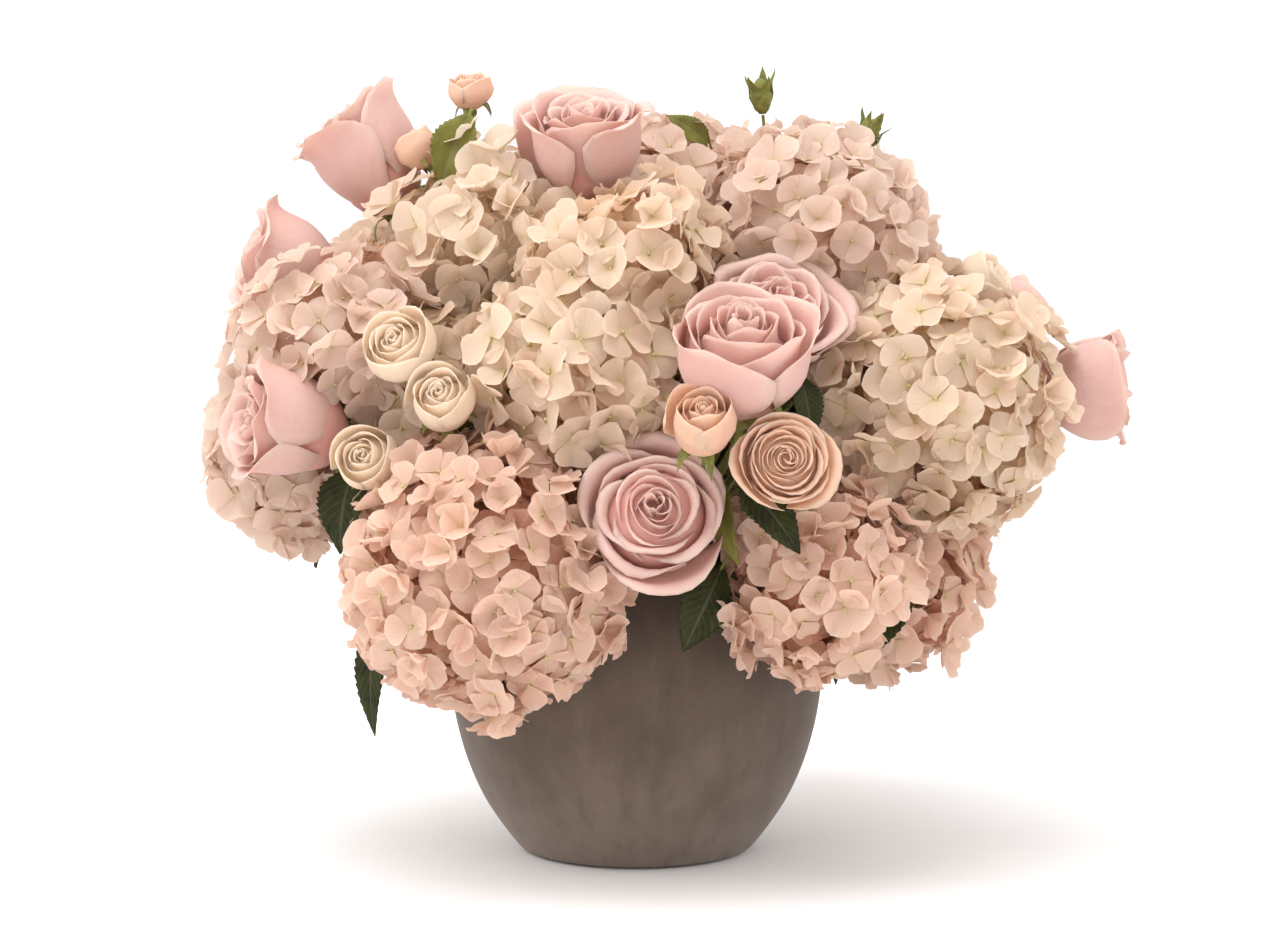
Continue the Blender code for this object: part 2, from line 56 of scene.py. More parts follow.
BODY = "root"
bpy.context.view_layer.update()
GOLDEN_ANGLE = math.pi * (3 - math.sqrt(5))
BELLY_DROP = 0.34  # how far below its top a turned head is widest, as a share of its length
FOAM_HEART = Vector((0.0, 0.0, 0.150))  # where the stems point
RIM_LEVEL = 0.186  # just above the bowl's lip
RIM_REACH = 0.1162 + 0.010  # the bowl's radius and a little room around it
FULL_HEAD = 132  # the outer florets of a head of full radius with full petals
FULL_RADIUS = 0.080
FULL_PETAL = 0.0185
DOME_COVER = 1.62  # how much of its height a dome's florets cover: 2 would be the whole ball
UNDERSIDE = 0.6  # how flat a dome's underside is
PETAL_TONES = ("Base", "Edge", "Heart", "Deep", "Alternate")
PETAL_ARC = 0.5 * math.pi  # a floret's four petals stand a quarter turn apart
SHADOWED = 0.30  # the depth that the innermost florets take, from 0 to 1


# ---- Small tools --------------------------------------------------------------------------------
def mix(low: float, high: float, share: float) -> float:
    """Returns the value at a share of the way from low to high."""
    return low + (high - low) * share


def ease(low: float, high: float, value: float) -> float:
    """Returns 0 below low, 1 above high and a smooth rise between them."""
    share = min(1.0, max(0.0, (value - low) / (high - low)))
    return share * share * (3 - 2 * share)


def direction(facing: tuple[float, float]) -> Vector:
    """Turns a facing into a unit vector.

    Args:
        facing: degrees from the front towards the right, and degrees above the horizon.

    Returns:
        The unit vector that points that way.
    """
    turn, rise = (math.radians(angle) for angle in facing)
    return Vector((math.sin(turn) * math.cos(rise), -math.cos(turn) * math.cos(rise), math.sin(rise)))


def basis(axis: Vector, spin: float = 0.0) -> Matrix:
    """Builds a rotation that takes +Z to an axis.

    Args:
        axis: where +Z goes.
        spin: a turn about the axis, in radians.

    Returns:
        The 3 by 3 rotation.
    """
    return axis.to_track_quat("Z", "Y").to_matrix() @ Matrix.Rotation(spin, 3, "Z")


# ---- Shader tools -------------------------------------------------------------------------------
class Shade:
    """A short way to write a node tree."""

    def __init__(self, tree: bpy.types.NodeTree) -> None:
        """Takes the tree that the nodes go into."""
        self.tree = tree

    def node(self, kind: str, **values: object) -> bpy.types.Node:
        """Adds a node.

        Args:
            kind: the node's type, without its ShaderNode prefix where it has one.
            values: settings of the node, or inputs whose names are in title case with underscores.

        Returns:
            The new node.
        """
        prefix = "" if kind.startswith("Node") else "ShaderNode"
        made = self.tree.nodes.new(prefix + kind)
        for name, value in values.items():
            socket = made.inputs.get(name.replace("_", " "))
            if socket is None:
                setattr(made, name, value)
            elif isinstance(value, bpy.types.NodeSocket):
                self.tree.links.new(value, socket)
            else:
                socket.default_value = value
        return made

    def maths(self, operation: str, first: object, second: object = 0.0) -> bpy.types.NodeSocket:
        """Adds a Math node.

        Args:
            operation: what it works out.
            first: a number, or a socket that carries one.
            second: the same, for an operation on two numbers.

        Returns:
            The result's socket.
        """
        made = self.node("Math", operation=operation)
        for socket, value in zip(made.inputs, (first, second)):
            self.plug(value, socket)
        return made.outputs[0]

    def plug(self, value: object, socket: bpy.types.NodeSocket) -> None:
        """Links a socket into a socket, or sets a value there.

        Args:
            value: the socket or the value.
            socket: where it goes.
        """
        if isinstance(value, bpy.types.NodeSocket):
            self.tree.links.new(value, socket)
        else:
            socket.default_value = value

    def blend(self, share: object, first: object, second: object) -> bpy.types.NodeSocket:
        """Adds a colour mix.

        Args:
            share: how much of the second colour shows.
            first: the first colour, or a socket that carries one.
            second: the second colour, or a socket that carries one.

        Returns:
            The mixed colour's socket.
        """
        made = self.tree.nodes.new("ShaderNodeMix")
        made.data_type = "RGBA"
        self.plug(share, made.inputs[0])
        self.plug(first, made.inputs[6])
        self.plug(second, made.inputs[7])
        return made.outputs[2]

    def ramp(self, value: object, low: float, high: float) -> bpy.types.NodeSocket:
        """Adds a smooth step.

        Args:
            value: the socket that carries the number to grade.
            low: where the step starts, at 0.
            high: where it ends, at 1.

        Returns:
            The step's socket.
        """
        made = self.node("MapRange", interpolation_type="SMOOTHSTEP")
        self.plug(value, made.inputs["Value"])
        made.inputs["From Min"].default_value = low
        made.inputs["From Max"].default_value = high
        return made.outputs[0]


def rgba(colour: tuple[float, float, float]) -> tuple[float, float, float, float]:
    """Adds a full alpha to a colour."""
    return (*colour, 1.0)


def new_group(name: str, inputs: dict[str, str], outputs: dict[str, str]) -> bpy.types.NodeTree:
    """Starts a shader node group.

    Args:
        name: the group's name.
        inputs: socket type for each input name.
        outputs: socket type for each output name.

    Returns:
        The group, with its input and output nodes in it.
    """
    group = bpy.data.node_groups.new(name, "ShaderNodeTree")
    for in_out, sockets in (("INPUT", inputs), ("OUTPUT", outputs)):
        for label, kind in sockets.items():
            group.interface.new_socket(name=label, in_out=in_out, socket_type="NodeSocket" + kind)
    group.nodes.new("NodeGroupInput")
    group.nodes.new("NodeGroupOutput")
    return group


def mottle_group() -> bpy.types.NodeTree:
    """Builds, once, the soft uneven tone that every grown or cast surface has.

    Returns:
        A group that makes a colour lighter and darker in soft patches, and gives their height.
    """
    found = bpy.data.node_groups.get("mottle")
    if found:
        return found
    group = new_group(
        "mottle",
        {"Color": "Color", "Dark": "Color", "Patch Size": "Float", "Amount": "Float"},
        {"Color": "Color", "Height": "Float"},
    )
    shade = Shade(group)
    start, end = group.nodes["Group Input"], group.nodes["Group Output"]
    where = shade.node("TexCoord").outputs["Object"]
    scale = shade.maths("DIVIDE", 1.0, start.outputs["Patch Size"])
    broad = shade.node("TexNoise", Vector=where, Scale=scale, Detail=4.0, Roughness=0.6)
    share = shade.maths("MULTIPLY", shade.ramp(broad.outputs[0], 0.35, 0.75), start.outputs["Amount"])
    colour = shade.blend(share, start.outputs["Color"], start.outputs["Dark"])
    group.links.new(colour, end.inputs["Color"])
    group.links.new(broad.outputs[0], end.inputs["Height"])
    return group


def petal_group() -> bpy.types.NodeTree:
    """Builds, once, the tone and relief of a petal from its own attributes.

    Returns:
        A group that colours a petal from its heart to its edge, paints shade deeper down in the
        flower, and gives the height of its veins.
    """
    found = bpy.data.node_groups.get("petal tone")
    if found:
        return found
    group = new_group(
        "petal tone",
        {label: "Color" for label in PETAL_TONES} | {"Veins": "Float"},
        {"Color": "Color", "Height": "Float"},
    )
    shade = Shade(group)
    start, end = group.nodes["Group Input"], group.nodes["Group Output"]
    petal = shade.node("Attribute", attribute_name="petal")
    depth = shade.node("Attribute", attribute_name="depth").outputs["Fac"]
    parts = shade.node("SeparateXYZ", Vector=petal.outputs["Vector"])
    across, along, tint = parts.outputs
    side = shade.maths("ABSOLUTE", across)
    where = shade.node("TexCoord").outputs["Object"]
    patch = shade.node("TexNoise", Vector=where, Scale=55.0, Detail=3.0, Roughness=0.6).outputs[0]
    grain = shade.node("TexNoise", Vector=where, Scale=420.0, Detail=2.0, Roughness=0.6).outputs[0]

    # Each petal leans a little towards the flower's second tint, in soft patches.
    lean = shade.maths("MULTIPLY", tint, shade.ramp(patch, 0.2, 0.8))
    colour = shade.blend(lean, start.outputs["Base"], start.outputs["Alternate"])
    # The heart of the flower shows at the foot of each petal.
    foot = shade.maths("SUBTRACT", 1.0, shade.ramp(along, 0.02, 0.42))
    colour = shade.blend(shade.maths("MULTIPLY", foot, 0.75), colour, start.outputs["Heart"])
    # The rim is paler and thinner.
    rim = shade.maths("MAXIMUM", shade.ramp(side, 0.72, 1.0), shade.ramp(along, 0.78, 1.0))
    rim = shade.maths("MULTIPLY", rim, mix_share(shade, patch, 0.35, 0.9))
    colour = shade.blend(rim, colour, start.outputs["Edge"])
    # Veins fan out from the foot.
    fan = shade.maths("DIVIDE", across, shade.maths("ADD", along, 0.25))
    wobble = shade.maths("MULTIPLY", shade.maths("SUBTRACT", patch, 0.5), 1.6)
    wave = shade.maths("SINE", shade.maths("MULTIPLY", shade.maths("ADD", fan, wobble), 19.0))
    vein = shade.ramp(wave, 0.55, 1.0)
    vein_share = shade.maths("MULTIPLY", vein, start.outputs["Veins"])
    colour = shade.blend(vein_share, colour, start.outputs["Deep"])
    # Painted shade: deep down between the petals the colour darkens towards the deep tone, standing in
    # for the shade there and for the light that has passed through many petals.
    painted_fold_shade = shade.maths("SUBTRACT", 1.0, shade.ramp(depth, 0.0, 0.85))
    colour = shade.blend(shade.maths("MULTIPLY", painted_fold_shade, 0.9), colour, start.outputs["Deep"])
    fine = shade.maths("MULTIPLY", shade.ramp(grain, 0.45, 0.8), 0.06)
    colour = shade.blend(fine, colour, start.outputs["Deep"])
    group.links.new(colour, end.inputs["Color"])
    height = shade.maths("ADD", shade.maths("MULTIPLY", vein, -0.5), shade.maths("MULTIPLY", grain, 0.5))
    group.links.new(height, end.inputs["Height"])
    return group


def mix_share(shade: Shade, value: object, low: float, high: float) -> bpy.types.NodeSocket:
    """Spreads a 0 to 1 value between low and high."""
    return shade.maths("ADD", shade.maths("MULTIPLY", value, high - low), low)


def new_material(name: str) -> tuple[bpy.types.Material, Shade, bpy.types.Node]:
    """Starts a material.

    Args:
        name: the material's name.

    Returns:
        The material, a Shade for its tree, and its Principled node.
    """
    made = bpy.data.materials.new(name)
    made.use_nodes = True
    return made, Shade(made.node_tree), made.node_tree.nodes["Principled BSDF"]


@dataclass(frozen=True)
class PetalFinish:
    """The finish of one kind of petal.

    The colours are linear. Base fills the petal, edge is its rim, heart its foot, deep the painted
    shade in the folds and also the veins and fine grain, and alternate the tint that some petals lean
    towards.
    """

    name: str
    slot: str
    base: tuple[float, float, float]
    edge: tuple[float, float, float]
    heart: tuple[float, float, float]
    deep: tuple[float, float, float]
    alternate: tuple[float, float, float]
    veins: float = 0.12
    glow: float = 0.40
    relief: float = 0.25

    def material(self) -> bpy.types.Material:
        """Builds the material, once.

        Returns:
            A soft petal that lets some light through.
        """
        found = bpy.data.materials.get(self.name)
        if found:
            return found
        made, shade, shader = new_material(self.name)
        tone = shade.node("Group", node_tree=petal_group())
        for label in PETAL_TONES:
            tone.inputs[label].default_value = rgba(getattr(self, label.lower()))
        tone.inputs["Veins"].default_value = self.veins
        bump = shade.node("Bump", Strength=self.relief, Distance=0.0006, Height=tone.outputs["Height"])
        shade.plug(tone.outputs["Color"], shader.inputs["Base Color"])
        shade.plug(bump.outputs[0], shader.inputs["Normal"])
        shader.inputs["Roughness"].default_value = 0.62
        shader.inputs["Specular IOR Level"].default_value = 0.28
        shader.inputs["Sheen Weight"].default_value = 0.12
        shader.inputs["Sheen Roughness"].default_value = 0.5
        through = shade.node("BsdfTranslucent", Normal=bump.outputs[0])
        through.inputs["Color"].default_value = rgba(self.base)
        both = shade.node("MixShader")
        both.inputs[0].default_value = self.glow
        shade.plug(shader.outputs[0], both.inputs[1])
        shade.plug(through.outputs[0], both.inputs[2])
        shade.plug(both.outputs[0], made.node_tree.nodes["Material Output"].inputs["Surface"])
        return made


@dataclass(frozen=True)
class GreenFinish:
    """The finish of a leaf, a stem, a sepal or the foam."""

    name: str
    base: tuple[float, float, float]
    dark: tuple[float, float, float]
    patch: float = 0.012
    roughness: float = 0.45
    veined: bool = False
    grain: float = 900.0
    relief: float = 0.2

    def material(self) -> bpy.types.Material:
        """Builds the material, once.

        Returns:
            A mottled plant surface, with a midrib and side veins where it is veined.
        """
        found = bpy.data.materials.get(self.name)
        if found:
            return found
        made, shade, shader = new_material(self.name)
        tone = shade.node("Group", node_tree=mottle_group())
        tone.inputs["Color"].default_value = rgba(self.base)
        tone.inputs["Dark"].default_value = rgba(self.dark)
        tone.inputs["Patch Size"].default_value = self.patch
        tone.inputs["Amount"].default_value = 0.9
        colour = tone.outputs["Color"]
        where = shade.node("TexCoord").outputs["Object"]
        fine = shade.node("TexNoise", Vector=where, Scale=self.grain, Detail=2.0)
        height = fine.outputs[0]
        if self.veined:
            petal = shade.node("Attribute", attribute_name="petal").outputs["Vector"]
            across, along, _ = shade.node("SeparateXYZ", Vector=petal).outputs
            side = shade.maths("ABSOLUTE", across)
            rib = shade.maths("SUBTRACT", 1.0, shade.ramp(side, 0.02, 0.09))
            rise, fall = shade.maths("MULTIPLY", along, 62.0), shade.maths("MULTIPLY", side, 17.0)
            slant = shade.maths("SUBTRACT", rise, fall)
            veins = shade.ramp(shade.maths("SINE", slant), 0.82, 1.0)
            net = shade.maths("MAXIMUM", rib, shade.maths("MULTIPLY", veins, 0.55))
            pale = tuple(mix(value, 0.30, 0.22) for value in self.base)
            colour = shade.blend(shade.maths("MULTIPLY", net, 0.6), colour, rgba(pale))
            height = shade.maths("SUBTRACT", shade.maths("MULTIPLY", height, 0.3), net)
        bump = shade.node("Bump", Strength=self.relief, Distance=0.0008, Height=height)
        shade.plug(colour, shader.inputs["Base Color"])
        shade.plug(bump.outputs[0], shader.inputs["Normal"])
        rough = mix_share(shade, tone.outputs["Height"], self.roughness - 0.1, self.roughness + 0.15)
        shade.plug(rough, shader.inputs["Roughness"])
        shader.inputs["Specular IOR Level"].default_value = 0.18
        return made


@dataclass(frozen=True)
class StonewareFinish:
    """The bowl's cast surface: warm grey, faintly streaked downwards, with pits and pale scuffs."""

    name: str = "cast_stoneware"
    base: tuple[float, float, float] = (0.115, 0.080, 0.059)
    dark: tuple[float, float, float] = (0.068, 0.045, 0.032)
    pale: tuple[float, float, float] = (0.240, 0.182, 0.144)

    def material(self) -> bpy.types.Material:
        """Builds the material, once.

        Returns:
            A matt cast surface.
        """
        found = bpy.data.materials.get(self.name)
        if found:
            return found
        made, shade, shader = new_material(self.name)
        where = shade.node("TexCoord").outputs["Object"]
        tone = shade.node("Group", node_tree=mottle_group())
        tone.inputs["Color"].default_value = rgba(self.base)
        tone.inputs["Dark"].default_value = rgba(self.dark)
        tone.inputs["Patch Size"].default_value = 0.055
        tone.inputs["Amount"].default_value = 0.55
        colour = tone.outputs["Color"]
        # Painted light and shade: paler towards the foot, standing in for light thrown up from the floor, and
        # darker under the rim, standing in for the shade of the flowers above.
        height_up = shade.node("SeparateXYZ", Vector=where).outputs[2]
        wander = shade.maths("MULTIPLY", shade.maths("SUBTRACT", tone.outputs["Height"], 0.5), 0.06)
        level = shade.maths("ADD", height_up, wander)
        painted_foot_light = shade.maths("SUBTRACT", 1.0, shade.ramp(level, -0.01, 0.095))
        colour = shade.blend(shade.maths("MULTIPLY", painted_foot_light, 0.62), colour, rgba(self.pale))
        painted_rim_shade = shade.ramp(level, 0.105, 0.175)
        colour = shade.blend(shade.maths("MULTIPLY", painted_rim_shade, 0.55), colour, rgba(self.dark))
        # Streaks run down the side: the noise is stretched along Z.
        stretch = shade.node("Mapping", Vector=where)
        stretch.inputs["Scale"].default_value = (1.0, 1.0, 0.10)
        streak = shade.node("TexNoise", Vector=stretch.outputs[0], Scale=70.0, Detail=5.0, Roughness=0.65)
        line = shade.ramp(streak.outputs[0], 0.45, 0.72)
        colour = shade.blend(shade.maths("MULTIPLY", line, 0.35), colour, rgba(self.dark))
        light = shade.ramp(shade.maths("SUBTRACT", 1.0, streak.outputs[0]), 0.52, 0.78)
        colour = shade.blend(shade.maths("MULTIPLY", light, 0.18), colour, rgba(self.pale))
        # Fine sand in the clay.
        sand = shade.node("TexNoise", Vector=where, Scale=900.0, Detail=3.0, Roughness=0.7)
        speck = shade.ramp(sand.outputs[0], 0.56, 0.75)
        colour = shade.blend(shade.maths("MULTIPLY", speck, 0.20), colour, rgba(self.pale))
        # Small pits, painted nearly black: painted shade inside them, with a dent in the relief.
        cell = shade.node("TexVoronoi", Vector=where, Scale=62.0, Randomness=1.0)
        chance = shade.ramp(shade.node("SeparateColor", Color=cell.outputs["Color"]).outputs[0], 0.86, 0.90)
        hole = shade.maths("SUBTRACT", 1.0, shade.ramp(cell.outputs["Distance"], 0.03, 0.10))
        pit = shade.maths("MULTIPLY", chance, hole)
        colour = shade.blend(shade.maths("MULTIPLY", pit, 0.85), colour, rgba((0.030, 0.024, 0.018)))
        # A few pale scuffs, long and thin.
        slant = shade.node("Mapping", Vector=where)
        slant.inputs["Rotation"].default_value = (0.5, 0.25, 0.1)
        slant.inputs["Scale"].default_value = (1.0, 1.0, 0.16)
        scuff_cell = shade.node("TexVoronoi", Vector=slant.outputs[0], Scale=26.0, Randomness=1.0)
        scuff_draw = shade.node("SeparateColor", Color=scuff_cell.outputs["Color"]).outputs[1]
        rare = shade.ramp(scuff_draw, 0.90, 0.94)
        thin = shade.maths("SUBTRACT", 1.0, shade.ramp(scuff_cell.outputs["Distance"], 0.02, 0.07))
        scuff = shade.maths("MULTIPLY", rare, thin)
        scuff = shade.maths("MULTIPLY", scuff, shade.ramp(sand.outputs[0], 0.4, 0.6))
        colour = shade.blend(shade.maths("MULTIPLY", scuff, 0.7), colour, rgba(self.pale))
        shade.plug(colour, shader.inputs["Base Color"])
        rough = mix_share(shade, streak.outputs[0], 0.58, 0.86)
        shade.plug(rough, shader.inputs["Roughness"])
        height = shade.maths("SUBTRACT", shade.maths("MULTIPLY", sand.outputs[0], 0.25), pit)
        height = shade.maths("ADD", height, shade.maths("MULTIPLY", streak.outputs[0], 0.5))
        bump = shade.node("Bump", Strength=0.35, Distance=0.0008, Height=height)
        shade.plug(bump.outputs[0], shader.inputs["Normal"])
        shader.inputs["Specular IOR Level"].default_value = 0.18
        shader.inputs["Sheen Weight"].default_value = 0.14
        shader.inputs["Sheen Roughness"].default_value = 0.6
        return made


# ---- Finishes -----------------------------------------------------------------------------------
# In every petal finish, deep is the colour of the painted shade in the folds, and of the veins.
HYDRANGEA_CREAM = PetalFinish(
    "cream_florets",
    "hydrangea_cream",
    base=(0.835, 0.672, 0.520),
    edge=(0.890, 0.765, 0.635),
    heart=(0.740, 0.630, 0.350),
    deep=(0.740, 0.450, 0.250),
    alternate=(0.825, 0.600, 0.470),
    veins=0.10,
)
HYDRANGEA_IVORY = PetalFinish(
    "ivory_florets",
    "hydrangea_cream",
    base=(0.875, 0.745, 0.605),
    edge=(0.915, 0.825, 0.715),
    heart=(0.790, 0.700, 0.440),
    deep=(0.790, 0.550, 0.350),
    alternate=(0.865, 0.670, 0.545),
    veins=0.10,
    glow=0.48,
)
HYDRANGEA_BLUSH = PetalFinish(
    "blush_florets",
    "hydrangea_blush",
    base=(0.830, 0.655, 0.545),
    edge=(0.880, 0.750, 0.650),
    heart=(0.760, 0.620, 0.420),
    deep=(0.740, 0.450, 0.330),
    alternate=(0.810, 0.585, 0.490),
    veins=0.12,
    glow=0.46,
)
HYDRANGEA_PEACH = PetalFinish(
    "peach_florets",
    "hydrangea_peach",
    base=(0.825, 0.600, 0.475),
    edge=(0.880, 0.720, 0.600),
    heart=(0.770, 0.610, 0.400),
    deep=(0.760, 0.390, 0.250),
    alternate=(0.800, 0.500, 0.390),
    veins=0.14,
)
ROSE_BLUSH = PetalFinish(
    "blush_rose_petals",
    "rose_petal",
    base=(0.885, 0.645, 0.580),
    edge=(0.915, 0.775, 0.675),
    heart=(0.850, 0.680, 0.500),
    deep=(0.790, 0.310, 0.260),
    alternate=(0.880, 0.600, 0.560),
    veins=0.06,
    relief=0.30,
    glow=0.40,
)
SPRAY_CREAM = PetalFinish(
    "cream_spray_petals",
    "spray_cream",
    base=(0.950, 0.835, 0.700),
    edge=(0.960, 0.875, 0.765),
    heart=(0.945, 0.790, 0.570),
    deep=(0.945, 0.740, 0.520),
    alternate=(0.945, 0.790, 0.640),
    veins=0.05,
    glow=0.45,
)
SPRAY_PEACH = PetalFinish(
    "peach_spray_petals",
    "spray_peach",
    base=(0.905, 0.680, 0.520),
    edge=(0.925, 0.780, 0.640),
    heart=(0.890, 0.650, 0.420),
    deep=(0.885, 0.550, 0.370),
    alternate=(0.895, 0.610, 0.480),
    veins=0.08,
    glow=0.45,
)
LEAF_DARK = GreenFinish("leaf_dark", (0.030, 0.034, 0.006), (0.010, 0.012, 0.002), 0.010, 0.58, True)
LEAF_OLIVE = GreenFinish("leaf_olive", (0.160, 0.148, 0.026), (0.085, 0.082, 0.014), 0.012, 0.50, True)
STEM_GREEN = GreenFinish("stem_green", (0.200, 0.215, 0.050), (0.110, 0.105, 0.030), 0.010, 0.45)
SEPAL_GREEN = GreenFinish("sepal_green", (0.210, 0.215, 0.050), (0.105, 0.095, 0.028), 0.006, 0.5)
BEAD_GREEN = GreenFinish("floret_bead", (0.600, 0.520, 0.260), (0.460, 0.350, 0.160), 0.002, 0.5)
HEAD_CORE = GreenFinish(
    "head_core", (0.400, 0.250, 0.150), (0.190, 0.110, 0.050), 0.004, 0.7, grain=500.0, relief=0.6
)
WET_FOAM = GreenFinish(
    "wet_foam", (0.040, 0.080, 0.034), (0.022, 0.048, 0.020), 0.004, 0.85, grain=1400.0, relief=0.5
)


# ---- Mesh tools ---------------------------------------------------------------------------------
class Growth:
    """A mesh that grows petal by petal, with the attributes that the finishes read."""

    def __init__(self) -> None:
        """Starts an empty mesh."""
        self.bm = bmesh.new()
        self.petal = self.bm.verts.layers.float_vector.new("petal")
        self.depth = self.bm.verts.layers.float.new("depth")

    def sheet(
        self,
        columns: int,
        rows: int,
        shape: Shape,
        slot: int = 0,
        tint: float = 0.0,
    ) -> None:
        """Adds a sheet, such as a petal or a leaf.

        Args:
            columns: faces across.
            rows: faces along.
            shape: gives the place and the depth for a share across (-1 to 1) and along (0 to 1).
            slot: which of the piece's finishes the sheet takes.
            tint: how far the sheet leans towards the second tint.
        """
        grid = bmesh.ops.create_grid(self.bm, x_segments=columns, y_segments=rows, size=1.0)
        faces = set()
        for vert in grid["verts"]:
            across, along = vert.co.x, vert.co.y * 0.5 + 0.5
            place, depth = shape(across, along)
            vert.co = place
            vert[self.petal] = (across, along, tint)
            vert[self.depth] = depth
            faces.update(vert.link_faces)
        for face in faces:
            face.smooth = True
            face.material_index = slot

    def solid(self, verts: list[bmesh.types.BMVert], slot: int, depth: float = 1.0) -> None:
        """Gives freshly made verts their attributes, and their faces a finish.

        Args:
            verts: the verts of one solid shape.
            slot: which of the piece's finishes it takes.
            depth: 1 at the flower's surface, and 0 deep inside.
        """
        for vert in verts:
            vert[self.petal] = (0.0, 0.5, 0.0)
            vert[self.depth] = depth
            for face in vert.link_faces:
                face.smooth = True
                face.material_index = slot

    def bead(self, place: Vector, radius: float, slot: int, detail: int = 1) -> None:
        """Adds a small round bead.

        Args:
            place: its middle.
            radius: its radius.
            slot: which of the piece's finishes it takes.
            detail: how finely the ball is divided.
        """
        made = bmesh.ops.create_icosphere(
            self.bm, subdivisions=detail, radius=radius, matrix=Matrix.Translation(place)
        )
        self.solid(made["verts"], slot)

    def tube(self, line: list[Vector], radii: list[float], slot: int, sides: int = 8) -> None:
        """Adds a tube by pushing a ring along a line of points.

        Args:
            line: the tube's centre line.
            radii: its radius at each point.
            slot: which of the piece's finishes it takes.
            sides: faces around.
        """
        ahead = (line[1] - line[0]).normalized()
        turn = basis(ahead)
        made = bmesh.ops.create_circle(self.bm, cap_ends=True, segments=sides, radius=1.0)
        ring = made["verts"]
        every = list(ring)
        for vert in ring:
            vert.co = line[0] + turn @ (vert.co * radii[0])
        face = ring[0].link_faces[0]
        for i in range(1, len(line)):
            pushed = bmesh.ops.extrude_discrete_faces(self.bm, faces=[face])
            face = pushed["faces"][0]
            step = line[min(i + 1, len(line) - 1)] - line[i - 1]
            tilt = ahead.rotation_difference(step.normalized()).to_matrix()
            ahead = step.normalized()
            for vert in face.verts:
                arm = tilt @ (vert.co - line[i - 1])
                vert.co = line[i] + arm * (radii[i] / radii[i - 1])
            every.extend(face.verts)
        self.solid([vert for vert in every if vert.is_valid], slot)

    def finish(
        self, name: str, finishes: list[bpy.types.Material], thickness: float = 0.0
    ) -> bpy.types.Object:
        """Turns the growth into an object.

        Args:
            name: the object's name.
            finishes: one material for each slot.
            thickness: how thick its sheets get, or 0 to leave them thin.

        Returns:
            The finished piece, riding on the arrangement.
        """
        mesh = bpy.data.meshes.new(name)
        self.bm.to_mesh(mesh)
        self.bm.free()
        for material in finishes:
            mesh.materials.append(material)
        piece = bpy.data.objects.new(name, mesh)
        bpy.context.scene.collection.objects.link(piece)
        if thickness:
            solid = piece.modifiers.new("thickness", "SOLIDIFY")
            solid.thickness = thickness
            solid.offset = 0.0
        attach(piece, BODY)
        return piece


def node_points(node: str) -> np.ndarray:
    """Reads the corners of a node's solid.

    Args:
        node: the node.

    Returns:
        One row for each corner.
    """
    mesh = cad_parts[node].data
    points = np.empty(len(mesh.vertices) * 3)
    mesh.vertices.foreach_get("co", points)
    return points.reshape(-1, 3)


def fit_sphere(points: np.ndarray, seed: int) -> tuple[Vector, float]:
    """Finds the sphere that most of a dome's corners lie on.

    Args:
        points: the corners of the dome and of its stem.
        seed: the seed of the random tries.

    Returns:
        The sphere's centre and radius.
    """
    rng = np.random.default_rng(seed)
    best, found = 0, (Vector(), 0.0)
    for _ in range(1500):
        four = points[rng.choice(len(points), 4, replace=False)]
        sides = 2 * (four[1:] - four[0])
        if abs(np.linalg.det(sides)) < 1e-7:
            continue
        centre = np.linalg.solve(sides, (four[1:] ** 2).sum(1) - (four[0] ** 2).sum())
        radius = float(np.linalg.norm(four[0] - centre))
        if not 0.03 < radius < 0.10:
            continue
        on_it = int((abs(np.linalg.norm(points - centre, axis=1) - radius) < 0.0003).sum())
        if on_it > best:
            best, found = on_it, (Vector(centre), radius)
    return found


@dataclass
class TurnedHead:
    """The place and size of a turned head, measured on its solid."""

    node: str
    out: Vector
    crown: float  # how deep below the top to look for the rim and the belly
    base: Vector = field(init=False)
    radius: float = field(init=False)
    length: float = field(init=False)

    def __post_init__(self) -> None:
        """Measures the head along its axis."""
        points = node_points(self.node)
        turn = np.array(basis(self.out))
        local = points @ turn
        top = local[:, 2].max()
        upper = local[local[:, 2] > top - self.crown]
        centre = (upper[:, :2].max(0) + upper[:, :2].min(0)) / 2
        spread = np.linalg.norm(upper[:, :2] - centre, axis=1)
        self.radius = float(spread.max())
        belly = upper[spread > self.radius * 0.992][:, 2].mean()
        self.length = float((top - belly) / BELLY_DROP)
        self.base = Vector(turn @ np.array((*centre, top - self.length)))


def stem_line(node: str, keep: Callable[[Vector], bool]) -> list[Vector]:
    """Finds a stem's centre line from the rings of its solid.

    Args:
        node: the flower's node.
        keep: tells whether a corner belongs to the stem.

    Returns:
        The middle of each ring, from the foam outwards.
    """
    left = [Vector(point) for point in node_points(node) if keep(Vector(point))]
    left.sort(key=lambda point: (point - FOAM_HEART).length)
    rings: list[list[Vector]] = []
    for point in left:
        if rings and (point - rings[-1][0]).length < 0.009:
            rings[-1].append(point)
        else:
            rings.append([point])
    return [sum(ring, Vector()) / len(ring) for ring in rings if len(ring) > 3]


def smooth_line(points: list[Vector], steps: int) -> list[Vector]:
    """Rounds a line of points off.

    Args:
        points: the corners of the line.
        steps: pieces between two corners.

    Returns:
        Points on a smooth curve through the corners.
    """
    padded = [points[0] * 2 - points[1], *points, points[-1] * 2 - points[-2]]
    line = []
    for i in range(1, len(padded) - 2):
        a, b, c, d = padded[i - 1 : i + 3]
        for step in range(steps):
            t = step / steps
            swept = 2 * b + (c - a) * t + (2 * a - 5 * b + 4 * c - d) * t**2
            line.append(0.5 * (swept + (3 * b - a - 3 * c + d) * t**3))
    return [*line, points[-1]]


